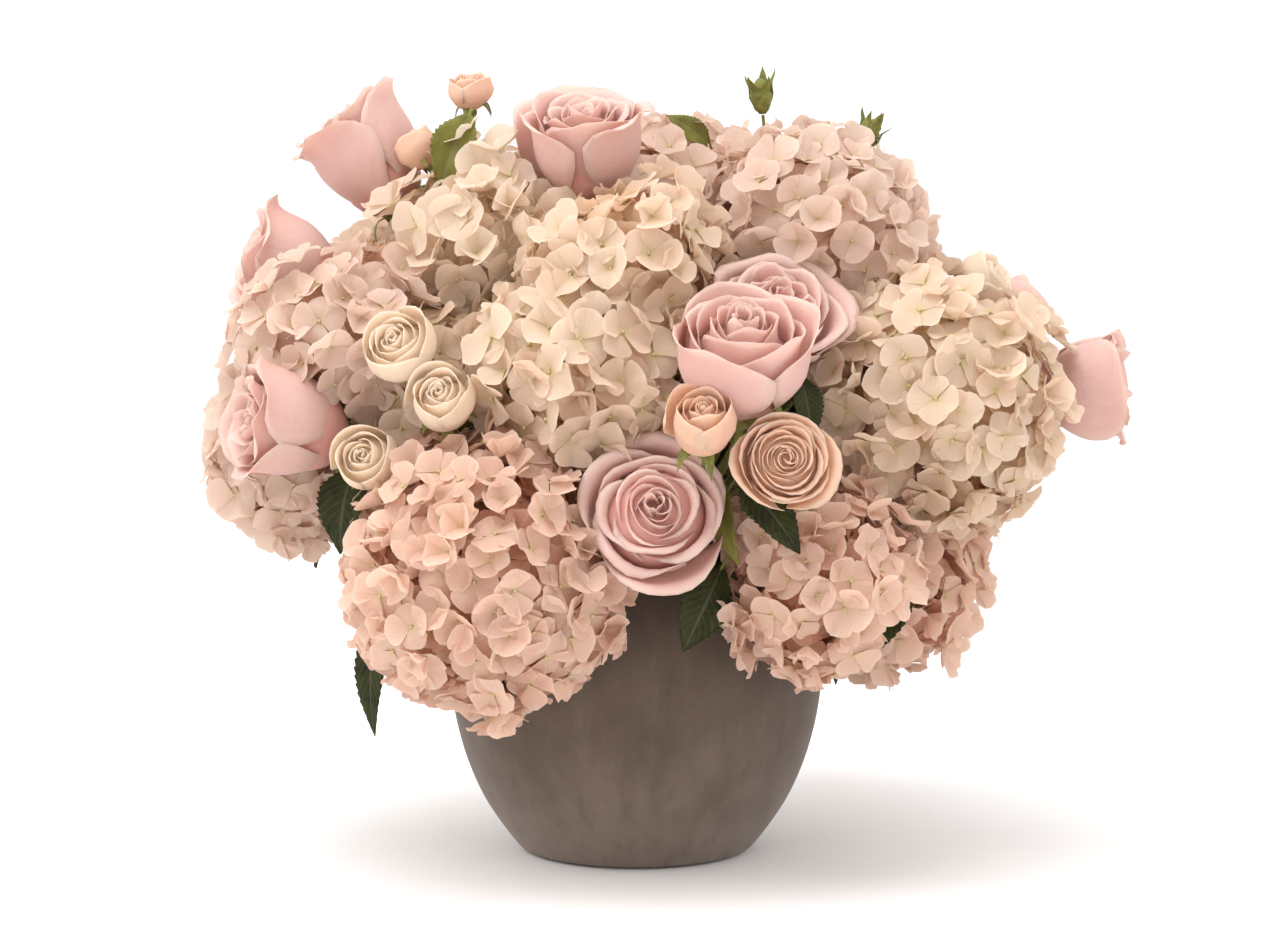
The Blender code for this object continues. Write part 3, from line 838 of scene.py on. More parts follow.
# ---- The bowl and the foam ----------------------------------------------------------------------
@dataclass
class Bowl:
    """The stoneware bowl, turned anew on the solid bowl's own profile."""

    node: str = "bowl"
    steps: int = 160
    rounding: int = 5  # pieces between two points of the profile

    def profile(self) -> list[Vector]:
        """Reads the solid's profile.

        Returns:
            Points from the middle of the inside, over the lip, to the middle of the underside.
        """
        points = node_points(self.node)
        across = np.hypot(points[:, 0], points[:, 1])
        marks = sorted({(round(float(r), 4), round(float(z), 4)) for r, z in zip(across, points[:, 2])})
        outside: list[tuple[float, float]] = []
        for mark in sorted(marks, key=lambda m: (m[1], -m[0])):
            if mark[1] > 0 and mark[0] < 0.05:
                continue
            while len(outside) > 1 and self.hollow(outside[-2], outside[-1], mark):
                outside.pop()
            outside.append(mark)
        top = outside[-1][1]
        lip = [mark for mark in marks if abs(mark[1] - top) < 0.0002]
        inside = [m for m in marks if m not in outside and m not in lip and m[1] > 0.001]
        inside.sort(key=lambda m: (m[1], m[0]))
        outer = [m for m in outside if m not in lip and m[0] > 0.05]
        inner_side = smooth_line([Vector((r, 0, z)) for r, z in inside if r > 0.03], self.rounding)
        outer_side = smooth_line([Vector((r, 0, z)) for r, z in outer if z > 0.0005], self.rounding)
        over = smooth_line([inner_side[-1], *(Vector((r, 0, z)) for r, z in sorted(lip)), outer_side[-1]], 5)
        middle = Vector((0, 0, inside[0][1]))
        foot = [Vector((r, 0, z)) for r, z in outer if z < 0.0005]
        return [middle, *inner_side[:-1], *over, *reversed(outer_side[:-1]), *foot[:1], Vector((0, 0, 0))]

    @staticmethod
    def hollow(first: tuple[float, float], middle: tuple[float, float], last: tuple[float, float]) -> bool:
        """Tells whether the middle of three marks lies inside the outer profile."""
        turn = (middle[0] - first[0]) * (last[1] - first[1]) - (middle[1] - first[1]) * (last[0] - first[0])
        return turn < -1e-9

    def build(self) -> bpy.types.Object:
        """Turns the bowl.

        Returns:
            The bowl.
        """
        bm = bmesh.new()
        verts = [bm.verts.new(point) for point in self.profile()]
        edges = [bm.edges.new(pair) for pair in zip(verts, verts[1:])]
        bmesh.ops.spin(
            bm,
            geom=verts + edges,
            cent=(0, 0, 0),
            axis=(0, 0, 1),
            angle=math.tau,
            steps=self.steps,
            use_merge=True,
        )
        bmesh.ops.remove_doubles(bm, verts=bm.verts, dist=0.00001)
        bmesh.ops.recalc_face_normals(bm, faces=bm.faces)
        for face in bm.faces:
            face.smooth = True
        mesh = bpy.data.meshes.new("bowl_body")
        bm.to_mesh(mesh)
        bm.free()
        mesh.materials.append(StonewareFinish().material())
        piece = bpy.data.objects.new("bowl_body", mesh)
        bpy.context.scene.collection.objects.link(piece)
        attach(piece, BODY)
        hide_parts(self.node)
        return piece


def dress(node: str, finish: GreenFinish) -> None:
    """Gives a node of the solid model a finer material.

    Args:
        node: the node.
        finish: its finish.
    """
    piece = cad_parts[node]
    for slot in piece.material_slots:
        slot.material = finish.material()


# ---- Flowers ------------------------------------------------------------------------------------
@dataclass(frozen=True)
class Keepout:
    """A round head that others' florets stay out of."""

    node: str
    centre: Vector
    radius: float


@dataclass
class HydrangeaHead:
    """A dome of four-petalled florets on one stem."""

    node: str
    facing: tuple[float, float]
    finish: PetalFinish
    seed: int
    floret: float = FULL_PETAL  # a petal's length
    centre: Vector = field(init=False)
    radius: float = field(init=False)

    def __post_init__(self) -> None:
        """Measures the dome on its solid."""
        self.centre, self.radius = fit_sphere(node_points(self.node), self.seed)

    def spots(self, count: int, drop: float, rng: random.Random) -> list[tuple[Vector, Vector]]:
        """Spreads florets over the dome.

        Args:
            count: how many on the whole dome.
            drop: how far below the dome's surface.
            rng: the source of the unevenness.

        Returns:
            Each floret's place and the way it faces.
        """
        turn = basis(direction(self.facing), rng.uniform(0, math.tau))
        spots = []
        for i in range(count):
            level = 1 - (i + 0.5) / count * DOME_COVER
            ring = math.sqrt(1 - level * level)
            angle = i * GOLDEN_ANGLE + rng.uniform(-0.12, 0.12)
            out = Vector((ring * math.cos(angle), ring * math.sin(angle), level))
            out += Vector([rng.uniform(-0.05, 0.05) for _ in range(3)])
            out.normalize()
            lump = self.radius * 0.10 * noise.noise(out * 1.9 + Vector((self.seed * 3.7, 0, 0)))
            place = out * (self.radius - drop + lump - rng.uniform(-0.003, 0.007))
            if place.z < 0:
                place.z *= UNDERSIDE
            spots.append((self.centre + turn @ place, turn @ out))
        return spots

    def grow_floret(
        self, growth: Growth, place: Vector, out: Vector, size: float, rng: random.Random
    ) -> None:
        """Grows one floret: four petals and a bead.

        Args:
            growth: the mesh that it goes into.
            place: its middle.
            out: the way it faces.
            size: the length of a petal.
            rng: the source of the unevenness.
        """
        lean = Vector([rng.uniform(-0.55, 0.55) for _ in range(3)])
        turn = basis((out + lean).normalized(), rng.uniform(0, math.tau))
        opening = rng.choice((rng.uniform(0.02, 0.40), rng.uniform(0.15, 0.60), rng.uniform(0.50, 1.05)))
        tint = rng.random() ** 1.5
        middle, axis = self.centre, direction(self.facing)

        for i in range(4):
            swing = Matrix.Rotation(PETAL_ARC * i + rng.uniform(-0.18, 0.18), 3, "Z")
            tilt = opening + rng.uniform(-0.22, 0.22)
            length = size * rng.uniform(0.88, 1.10)
            half = length * rng.uniform(0.60, 0.76)
            cup, curl = rng.uniform(-0.06, 0.40), rng.uniform(-0.16, 0.42)
            wave, phase = rng.uniform(0.03, 0.12), rng.uniform(0, math.tau)
            lift = 0.0006 if i % 2 else -0.0004
            point, skew = rng.uniform(0.0, 0.10), rng.uniform(-0.10, 0.10)

            def shape(across: float, along: float) -> tuple[Vector, float]:
                """Places one corner of the petal.

                Args:
                    across: -1 to 1, from side to side.
                    along: 0 to 1, from foot to tip.

                Returns:
                    The corner's place, and its depth in the flower.
                """
                level = along * 2 - 1
                x = across * math.sqrt(1 - level * level / 2)
                y = (level * math.sqrt(1 - across * across / 2) + 1) / 2
                wide = x * half * mix(0.36, 1.0, ease(0.0, 0.62, y)) + skew * length * y * y
                far = 0.0006 + length * (y + point * y * (1 - abs(x)) ** 2)
                up = math.sin(tilt) * far + lift - curl * length * y**3
                up += cup * length * x * x * y - 0.045 * length * (1 - abs(x)) ** 2 * y
                up += wave * length * math.sin(x * 4.6 + phase) * y
                spot = place + turn @ (swing @ Vector((wide, far * math.cos(tilt), up)))
                # Painted shade: the deeper in the dome a petal corner lies, the more it takes of the darker
                # deep tone, down to SHADOWED.
                arm = spot - middle
                under = min(0.0, arm.dot(axis))
                rise = ((arm + axis * under * 0.66).length / self.radius - 0.78) / 0.20
                return spot, min(1.0, max(SHADOWED, rise))

            growth.sheet(4, 4, shape, 0, tint)
        growth.bead(place + turn @ Vector((0, 0, 0.0009)), 0.0013, 1, 1)

    def build(self, keepouts: list[Keepout], blocked: Blocked) -> bpy.types.Object:
        """Grows the whole head.

        Args:
            keepouts: all the round heads in the arrangement.
            blocked: tells whether a place lies in the bowl or in a rose.

        Returns:
            The head with its stem.
        """
        rng = random.Random(self.seed)
        growth = Growth()
        others = [other for other in keepouts if other.node != self.node]
        count = int(FULL_HEAD * (self.radius / FULL_RADIUS) ** 2 * (FULL_PETAL / self.floret) ** 1.8)
        grown = 0
        # Each layer's depth, florets, their size, and whether it leaves roses and leaves free.
        layers = (
            (0.001, count, 1.0, 1.0),
            (0.013, int(count * 0.75), 0.95, 1.0),
            (self.radius * 0.30, int(count * 0.42), 0.80, 0.0),
        )
        for drop, number, size, room in layers:
            for place, out in self.spots(number, drop, rng):
                if any((place - other.centre).length < other.radius - 0.007 for other in others):
                    continue
                if blocked(place, room):
                    continue
                self.grow_floret(growth, place, out, self.floret * size * rng.uniform(0.80, 1.08), rng)
                grown += 1
        self.grow_core(growth)
        self.grow_collar(growth, rng, blocked)
        self.grow_stem(growth)
        finishes = (self.finish, BEAD_GREEN, STEM_GREEN, HEAD_CORE, LEAF_DARK)
        piece = growth.finish(self.node + "_florets", [finish.material() for finish in finishes])
        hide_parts(self.node)
        log.info("%s: %d florets, radius %.0f mm", self.node, grown, self.radius * 1000)
        return piece

    def grow_core(self, growth: Growth) -> None:
        """Fills the middle of the head with a crumpled ball of small stalks.

        Args:
            growth: the mesh that it goes into.
        """
        turn = basis(direction(self.facing))
        made = bmesh.ops.create_icosphere(growth.bm, subdivisions=4, radius=1.0)
        size = self.radius * 0.66
        for vert in made["verts"]:
            spot = vert.co * size * 90 + Vector((self.seed, 0, 0))
            rough = 1 + 0.16 * noise.noise(spot) + 0.10 * noise.noise(spot * 2.3)
            local = vert.co * size * rough
            if local.z < 0:
                local.z *= UNDERSIDE
            vert.co = self.centre + turn @ local
        growth.solid(made["verts"], 3, 0.0)

    def grow_collar(self, growth: Growth, rng: random.Random, blocked: Blocked) -> None:
        """Adds the dark leaves that stand under the dome.

        Args:
            growth: the mesh that they go into.
            rng: the source of the unevenness.
            blocked: tells whether a place lies in the bowl or in a rose.
        """
        turn = basis(direction(self.facing), rng.uniform(0, math.tau))
        for i in range(6):
            angle = math.tau / 6 * i + rng.uniform(-0.3, 0.3)
            long = self.radius * rng.uniform(0.72, 0.88)
            wide = long * rng.uniform(0.26, 0.34)
            fall = rng.uniform(0.05, 0.40)

            def shape(across: float, along: float) -> tuple[Vector, float]:
                """Places one corner of the leaf.

                Args:
                    across: -1 to 1, from side to side.
                    along: 0 to 1, from foot to tip.

                Returns:
                    The corner's place, and its depth in the flower.
                """
                half = wide * math.sin(math.pi * (0.04 + 0.94 * along) ** 0.85)
                r = self.radius * 0.08 + long * along
                up = self.radius * (0.22 * math.sin(along * 2.6) - 0.46) - fall * long * along**2
                up += abs(across) * half * 0.25
                x = r * math.cos(angle) - across * half * math.sin(angle)
                y = r * math.sin(angle) + across * half * math.cos(angle)
                return self.centre + turn @ Vector((x, y, up)), 1.0

            if not any(blocked(shape(0.0, share)[0], 0.0) for share in (0.4, 0.7, 1.0)):
                growth.sheet(4, 10, shape, 4)

    def grow_stem(self, growth: Growth) -> None:
        """Adds the stem along the solid's own.

        Args:
            growth: the mesh that it goes into.
        """
        inside = self.radius * 0.62
        centre, reach = self.centre, self.radius * 1.02
        line = stem_line(self.node, lambda p: (p - centre).length > reach and p.z < centre.z)
        if not line:
            return
        ahead = (self.centre - line[-1]).normalized()
        line.append(self.centre - ahead * inside * 0.2)
        line = smooth_line(line, 4)
        growth.tube(line, [0.0030] * len(line), 2, 10)


@dataclass(frozen=True)
class Opening:
    """How far a rose is open. Heights are shares of its length, and widths of its radius."""

    heart: float  # height of the innermost petals
    rim: float  # height of the outermost petals
    closing: float  # how far the inner petals close over the heart
    roll: float  # how far the lips roll out
    spread: float  # how wide the outermost petals stand
    ruffle: float
    packing: float  # above 1, more petals crowd around the heart
    guard: float  # how far the outermost petals lean away
    wrap: float = 0.0  # how far the outermost petals close over
    shoulder: float = 0.30
    point: float = 0.05


class RoseForm(Enum):
    """The named stages of opening."""

    HIGH_CENTRED = Opening(1.00, 0.92, 0.44, 0.20, 0.98, 0.028, 1.35, 0.02, 0.02, point=0.10)
    SWIRLED = Opening(0.90, 0.66, 0.40, 0.30, 0.90, 0.045, 1.15, 0.22)
    ROSETTE = Opening(0.90, 0.70, 0.26, 0.20, 0.98, 0.045, 1.05, 0.15)
    BARREL = Opening(0.98, 1.06, 0.18, 0.40, 1.00, 0.030, 1.20, 0.12, 0.02, point=0.07)
    CUPPED = Opening(0.92, 0.93, 0.42, 0.12, 0.98, 0.024, 1.50, 0.02, 0.16, 0.26)
    LOOSE = Opening(0.92, 0.78, 0.16, 0.30, 1.02, 0.065, 1.00, 0.32)


@dataclass
class RoseHead:
    """A rose of spiralled petals on a green hip."""

    node: str
    facing: tuple[float, float]
    form: RoseForm
    finish: PetalFinish
    seed: int
    petals: int = 30
    crown: float = 0.030
    stem: float = 0.0026
    spin: float = 0.0
    columns: int = 12
    rows: int = 11
    clear: float = 0.0  # how far in front of it no floret stands
    nod: float = 0.0  # how many degrees the petals open above the line of the stem
    size: TurnedHead = field(init=False)
    axis: Vector = field(init=False)
    base: Vector = field(init=False)

    def __post_init__(self) -> None:
        """Measures the head on its solid, and turns its petals about its middle."""
        self.size = TurnedHead(self.node, direction(self.facing), self.crown)
        self.axis = direction((self.facing[0], self.facing[1] + self.nod))
        half = self.size.length / 2
        self.base = self.size.base + self.size.out * half - self.axis * half

    def grow_petal(self, growth: Growth, share: float, angle: float, rng: random.Random) -> None:
        """Grows one petal.

        Args:
            growth: the mesh that it goes into.
            share: 0 for the innermost petal and 1 for the outermost.
            angle: where it stands around the flower.
            rng: the source of the unevenness.
        """
        form = self.form.value
        radius, length, base = self.size.radius, self.size.length, self.base
        turn = basis(self.axis, self.spin)
        reach = radius * mix(0.11, form.spread * rng.uniform(0.95, 1.0), share**form.packing)
        top = length * mix(form.heart, form.rim, share**1.3) * rng.uniform(0.96, 1.02)
        half = mix(2.0, 1.24, share**0.6) * rng.uniform(0.9, 1.1)
        close = mix(form.closing, form.wrap, share**0.9)
        out_roll = form.roll * mix(0.30, 1.0, ease(0.1, 0.9, share)) * rng.uniform(0.6, 1.4)
        lean = form.guard * share**3 * rng.uniform(0.4, 1.3)
        scroll = mix(0.26, 0.06, share**0.5)
        frill, phase = form.ruffle * rng.uniform(0.6, 1.4), rng.uniform(0, math.tau)
        tint = rng.random() ** 1.3
        foot = length * mix(0.34, 0.06, share**0.6)
        turns = rng.uniform(2.4, 3.8)
        drop = radius * out_roll * 1.1
        notch = rng.uniform(-0.25, 0.25)

        def shape(across: float, along: float) -> tuple[Vector, float]:
            """Places one corner of the petal.

            Args:
                across: -1 to 1, from side to side.
                along: 0 to 1, from foot to tip.

            Returns:
                The corner's place, and its depth in the flower.
            """
            side = abs(across - notch) / (1 + abs(notch))
            tip = form.point * share * math.exp(-((side / 0.4) ** 2))
            s = along * (1 - form.shoulder * abs(across) ** 2.5 + tip)
            belly = math.sin(math.pi / 2 * min(1.0, s / 0.58)) ** 0.72 if s > 0 else 0.0
            inward = close * ease(0.50, 1.05, s)
            lip = ease(0.66, 1.06, s) ** 2
            outward = out_roll * (0.45 + 0.90 * side * side) * lip
            r = reach * (0.10 + 0.90 * belly - inward) * (1 + scroll * across)
            r += radius * (outward + lean * s**1.6)
            r += radius * frill * math.sin(across * turns + phase) * ease(0.45, 1.0, s)
            up = foot + (top - foot) * s**0.92 * (1 - 0.45 * lean * s)
            up -= drop * lip * ease(0.80, 1.10, s) * (0.35 + side)
            up += length * frill * 0.6 * math.sin(across * turns * 1.7 + phase * 2) * ease(0.6, 1.0, s)
            around = angle + across * half * mix(0.66, 1.0, ease(0.0, 0.6, s)) * (1.0 - 0.14 * lip)
            local = Vector((r * math.cos(around), r * math.sin(around), up))
            # Painted shade: the lower part of each petal takes the darker deep tone, less so on the outer
            # petals.
            shown = max(ease(0.30, 0.85, s), 0.95 * share**1.2)
            return base + turn @ local, shown

        growth.sheet(self.columns, self.rows, shape, 0, tint)

    def grow_heart(self, growth: Growth) -> None:
        """Fills the space under the petals with the flower's packed middle.

        Args:
            growth: the mesh that it goes into.
        """
        radius, length, base = self.size.radius, self.size.length, self.base
        turn = basis(self.axis, self.spin)
        top = self.form.value.heart * 0.80
        made = bmesh.ops.create_icosphere(growth.bm, subdivisions=3, radius=1.0)
        for vert in made["verts"]:
            x, y, z = vert.co
            local = Vector((x * radius * 0.74, y * radius * 0.74, length * (top * 0.56 + z * top * 0.44)))
            vert.co = base + turn @ local
        # Painted shade: a depth of 0.35 gives the packed middle much of the darker deep tone.
        growth.solid(made["verts"], 0, 0.35)

    def grow_calyx(self, growth: Growth, rng: random.Random) -> None:
        """Adds the hip and its five sepals.

        Args:
            growth: the mesh that they go into.
            rng: the source of the unevenness.
        """
        radius, base = self.size.radius, self.base
        turn = basis(self.axis)
        made = bmesh.ops.create_icosphere(growth.bm, subdivisions=2, radius=radius * 0.21)
        for vert in made["verts"]:
            vert.co = base + turn @ Vector((vert.co.x, vert.co.y, vert.co.z * 1.15 + radius * 0.06))
        growth.solid(made["verts"], 1)
        for i in range(5):
            angle = math.tau / 5 * i + rng.uniform(-0.2, 0.2)
            long = radius * rng.uniform(0.75, 1.05)
            wide = radius * 0.20
            bend = rng.uniform(0.4, 1.5)

            def shape(across: float, along: float) -> tuple[Vector, float]:
                """Places one corner of the sepal.

                Args:
                    across: -1 to 1, from side to side.
                    along: 0 to 1, from foot to tip.

                Returns:
                    The corner's place, and its depth in the flower.
                """
                r = radius * 0.16 + long * (along * 0.75 + 0.1 * math.sin(along * 3))
                up = radius * (0.16 + 0.45 * math.sin(along * 2.2)) - bend * long * along**2 * 0.8
                half = wide * math.sin(math.pi * (0.16 + 0.84 * along) ** 0.8)
                swing = angle + across * half / max(r, 0.001)
                return base + turn @ Vector((r * math.cos(swing), r * math.sin(swing), up)), 1.0

            growth.sheet(4, 8, shape, 1)

    def grow_stem(self, growth: Growth) -> None:
        """Adds the stem along the solid's own.

        Args:
            growth: the mesh that it goes into.
        """
        base, out = self.size.base, direction(self.facing)
        line = stem_line(self.node, lambda p: (p - base).dot(out) < -0.004 and p.z < base.z + 0.02)
        if not line:
            return
        line = smooth_line([*line, self.base + self.axis * 0.002], 4)
        growth.tube(line, [self.stem] * len(line), 2, 10)

    def build(self) -> bpy.types.Object:
        """Grows the whole rose.

        Returns:
            The rose with its hip, sepals and stem.
        """
        rng = random.Random(self.seed)
        growth = Growth()
        for i in range(self.petals):
            share = i / (self.petals - 1)
            self.grow_petal(growth, share, i * GOLDEN_ANGLE + rng.uniform(-0.15, 0.15), rng)
        self.grow_heart(growth)
        self.grow_calyx(growth, rng)
        if self.stem:
            self.grow_stem(growth)
        piece = growth.finish(
            self.node + "_petals",
            [self.finish.material(), SEPAL_GREEN.material(), STEM_GREEN.material()],
            thickness=0.00035,
        )
        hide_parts(self.node)
        log.info(
            "%s: %d petals, %.0f mm across, %.0f mm tall",
            self.node,
            self.petals,
            self.size.radius * 2000,
            self.size.length * 1000,
        )
        return piece


@dataclass
class GreenBud:
    """A closed bud wrapped in its sepals, whose tips stand free."""

    node: str
    facing: tuple[float, float]
    seed: int
    size: TurnedHead = field(init=False)

    def __post_init__(self) -> None:
        """Measures the bud on its solid."""
        self.size = TurnedHead(self.node, direction(self.facing), 0.010)

    def build(self) -> bpy.types.Object:
        """Grows the bud.

        Returns:
            The bud.
        """
        rng = random.Random(self.seed)
        growth = Growth()
        radius, length, base = self.size.radius, self.size.length, self.size.base
        turn = basis(direction(self.facing))
        made = bmesh.ops.create_icosphere(growth.bm, subdivisions=3, radius=1.0)
        for vert in made["verts"]:
            up = (vert.co.z + 1) / 2
            wide = radius * 0.78 * math.sqrt(vert.co.x**2 + vert.co.y**2 + 1e-9) ** 0.9 * mix(1.0, 0.7, up)
            angle = math.atan2(vert.co.y, vert.co.x) + up * 0.6
            ridge = 1 + 0.06 * math.sin(angle * 5)
            r = wide * ridge
            vert.co = base + turn @ Vector((r * math.cos(angle), r * math.sin(angle), up * length))
        growth.solid(made["verts"], 0)
        for i in range(5):
            angle = math.tau / 5 * i + rng.uniform(-0.2, 0.2)
            long, flare = length * rng.uniform(1.0, 1.35), rng.uniform(0.1, 0.9)

            def shape(across: float, along: float) -> tuple[Vector, float]:
                """Places one corner of the sepal.

                Args:
                    across: -1 to 1, from side to side.
                    along: 0 to 1, from foot to tip.

                Returns:
                    The corner's place, and its depth in the flower.
                """
                r = radius * (0.25 + 0.72 * math.sin(min(1.0, along * 1.6) * math.pi / 2))
                r += radius * flare * ease(0.55, 1.0, along) * 1.4 - radius * 0.25 * ease(0.4, 0.8, along)
                half = radius * 0.62 * math.sin(math.pi * (0.14 + 0.85 * along) ** 0.7)
                half *= 1 + 0.25 * math.sin(along * 40) * abs(across)
                swing = angle + across * half / max(r, 0.001)
                return base + turn @ Vector((r * math.cos(swing), r * math.sin(swing), long * along)), 1.0

            growth.sheet(4, 14, shape, 0)
        piece = growth.finish(self.node + "_sepals", [SEPAL_GREEN.material()], thickness=0.0003)
        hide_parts(self.node)
        log.info("%s: %.0f mm long", self.node, length * 1000)
        return piece


@dataclass
class Leaf:
    """A serrated leaf blade on its stalk."""

    node: str
    base: tuple[float, float, float]
    tip: tuple[float, float, float]
    width: float
    facing: tuple[float, float]
    droop: float
    finish: GreenFinish
    seed: int
    teeth: int = 15

    def covers(self, place: Vector) -> bool:
        """Tells whether a floret would stand in the leaf or right in front of it.

        Args:
            place: the floret's middle.

        Returns:
            True where it would.
        """
        base, span = Vector(self.base), Vector(self.tip) - Vector(self.base)
        out = direction((self.facing[0] * 0.6, 6))
        share = min(1.0, max(0.0, (place - base).dot(span) / span.length_squared))
        arm = place - base - span * share
        ahead = arm.dot(out)
        return -0.004 < ahead < 0.095 and (arm - out * ahead).length < self.width * 0.34 + 0.006

    def build(self) -> bpy.types.Object:
        """Grows the leaf.

        Returns:
            The leaf with its stalk.
        """
        rng = random.Random(self.seed)
        base, tip = Vector(self.base), Vector(self.tip)
        length = (tip - base).length
        along_axis = (tip - base).normalized()
        across_axis = along_axis.cross(direction(self.facing)).normalized()
        turn = Matrix((across_axis, along_axis, across_axis.cross(along_axis))).transposed()
        wave = rng.uniform(0, 50)
        growth = Growth()

        def shape(across: float, along: float) -> tuple[Vector, float]:
            """Places one corner of the blade.

            Args:
                across: -1 to 1, from side to side.
                along: 0 to 1, from foot to tip.

            Returns:
                The corner's place, and its depth in the flower.
            """
            half = self.width / 2 * math.sin(math.pi * (0.03 + 0.96 * along) ** 0.85)
            tooth = (along * self.teeth) % 1.0
            half *= 1 - 0.13 * tooth * ease(0.55, 1.0, abs(across)) * ease(0.03, 0.15, along)
            fold = abs(across) * half * 0.28
            bend = self.droop * (4 * along * (1 - along) - along * along)
            ripple = noise.noise(Vector((across * 1.3, along * 5, wave))) * 0.10 * self.width * abs(across)
            return base + turn @ Vector((across * half, along * length, fold + bend + ripple)), 1.0

        growth.sheet(10, 60, shape, 0)
        points = [Vector(p) for p in node_points(self.node)]
        root = max(points, key=lambda p: -(p - base).dot(along_axis))
        reach = -(root - base).dot(along_axis)
        near = [p for p in points if (p - root).length < 0.004]
        root = sum(near, Vector()) / len(near)
        midrib = base + along_axis * length * 0.12
        if reach > 0.003:
            line = smooth_line([root, base - along_axis * reach * 0.5, base, midrib], 4)
        else:
            line = [base - along_axis * 0.004, base, midrib]
        growth.tube(line, [mix(0.0011, 0.0006, i / (len(line) - 1)) for i in range(len(line))], 1, 8)
        piece = growth.finish(
            self.node + "_blade", [self.finish.material(), STEM_GREEN.material()], thickness=0.00045
        )
        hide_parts(self.node)
        log.info("%s: %.0f mm long", self.node, length * 1000)
        return piece


# ---- The studio ---------------------------------------------------------------------------------
@dataclass
class Studio:
    """A wide pale floor, soft light from all around, and the camera."""

    floor_size: float = 14.0
    target: tuple[float, float, float] = (0.0037, 0.0, 0.2398)
    distance: float = 2.4
    rise: float = 6.5
    lens: float = 108.5

    def build(self) -> None:
        """Sets the whole studio up."""
        self.lay_floor()
        self.light_world()
        self.hang_lamp("left", (-2.1, -0.6, 2.0), 1.6, 26.0)
        self.hang_lamp("right", (2.3, -0.1, 1.3), 1.6, 6.0)
        self.hang_lamp("top", (-0.4, -0.6, 2.7), 2.0, 40.0)
        self.set_camera()

    def lay_floor(self) -> None:
        """Lays the floor."""
        bm = bmesh.new()
        bmesh.ops.create_grid(bm, x_segments=1, y_segments=1, size=self.floor_size)
        mesh = bpy.data.meshes.new("floor")
        bm.to_mesh(mesh)
        bm.free()
        floor = bpy.data.objects.new("floor", mesh)
        bpy.context.scene.collection.objects.link(floor)
        made, _, shader = new_material("floor")
        shader.inputs["Base Color"].default_value = (0.910, 0.897, 0.888, 1.0)
        shader.inputs["Roughness"].default_value = 0.95
        shader.inputs["Specular IOR Level"].default_value = 0.0
        mesh.materials.append(made)

    def light_world(self) -> None:
        """Surrounds the scene with white light, softer from in front than from behind and above."""
        world = bpy.data.worlds.new("studio")
        world.use_nodes = True
        shade = Shade(world.node_tree)
        back = world.node_tree.nodes["Background"]
        back.inputs["Color"].default_value = (1.0, 1.0, 1.0, 1.0)
        parts = shade.node("SeparateXYZ", Vector=shade.node("TexCoord").outputs["Generated"]).outputs
        behind = shade.ramp(shade.maths("ADD", parts[1], shade.maths("MULTIPLY", parts[2], 0.9)), -0.75, 0.15)
        shade.plug(mix_share(shade, behind, 1.03, 1.17), back.inputs["Strength"])
        bpy.context.scene.world = world

    def hang_lamp(self, name: str, place: tuple[float, float, float], size: float, power: float) -> None:
        """Hangs a square soft box that faces the flowers.

        Args:
            name: the lamp's name.
            place: where it hangs.
            size: its side.
            power: its power in watts.
        """
        lamp = bpy.data.lights.new(name, "AREA")
        lamp.size = size
        lamp.energy = power
        hung = bpy.data.objects.new(name, lamp)
        hung.location = place
        hung.rotation_euler = (Vector(place) - Vector(self.target)).to_track_quat("Z", "Y").to_euler()
        bpy.context.scene.collection.objects.link(hung)

    def set_camera(self) -> None:
        """Places the camera in front of the arrangement, a little above it."""
        data = bpy.data.cameras.new("camera")
        data.lens = self.lens
        data.sensor_width = 36.0
        camera = bpy.data.objects.new("camera", data)
        angle = math.radians(self.rise)
        back = Vector((0.0, -math.cos(angle), math.sin(angle)))
        camera.location = Vector(self.target) + back * self.distance
        camera.rotation_euler = back.to_track_quat("Z", "Y").to_euler()
        bpy.context.scene.collection.objects.link(camera)
        bpy.context.scene.camera = camera
        bpy.context.scene.view_settings.view_transform = "Standard"


# ---- The arrangement ----------------------------------------------------------------------------
# Every flower and leaf draws its unevenness from its own seed, counted up from these.
HEAD_SEED, ROSE_SEED, SPRAY_SEED, BUD_SEED, LEAF_SEED = 100, 300, 500, 700, 800

# Name, facing, finish, and the length of a floret's petal.
HYDRANGEAS = (
    ("front_left", (-30, 10), HYDRANGEA_PEACH, 0.0155),
    ("upper_left", (-45, 52), HYDRANGEA_IVORY, 0.0175),
    ("centre_high", (0, 46), HYDRANGEA_CREAM, 0.0175),
    ("centre_low", (-12, 26), HYDRANGEA_CREAM, 0.0180),
    ("top_right", (30, 60), HYDRANGEA_BLUSH, 0.0155),
    ("right", (48, 26), HYDRANGEA_CREAM, 0.0160),
    ("low_right", (32, 5), HYDRANGEA_PEACH, 0.0150),
    ("far_low_right", (68, 0), HYDRANGEA_PEACH, 0.0155),
    ("left", (-62, 32), HYDRANGEA_BLUSH, 0.0165),
    ("far_left", (-75, 4), HYDRANGEA_BLUSH, 0.0160),
    ("inner_left", (-40, 22), HYDRANGEA_CREAM, 0.0185),
    ("crown", (165, 78), HYDRANGEA_BLUSH, 0.0155),
    ("back_left", (-130, 40), HYDRANGEA_CREAM, 0.0170),
    ("back_centre", (180, 40), HYDRANGEA_PEACH, 0.0160),
    ("back_right", (132, 38), HYDRANGEA_BLUSH, 0.0165),
    ("low_back_left", (-145, 8), HYDRANGEA_PEACH, 0.0160),
    ("low_back_right", (150, 6), HYDRANGEA_CREAM, 0.0170),
)
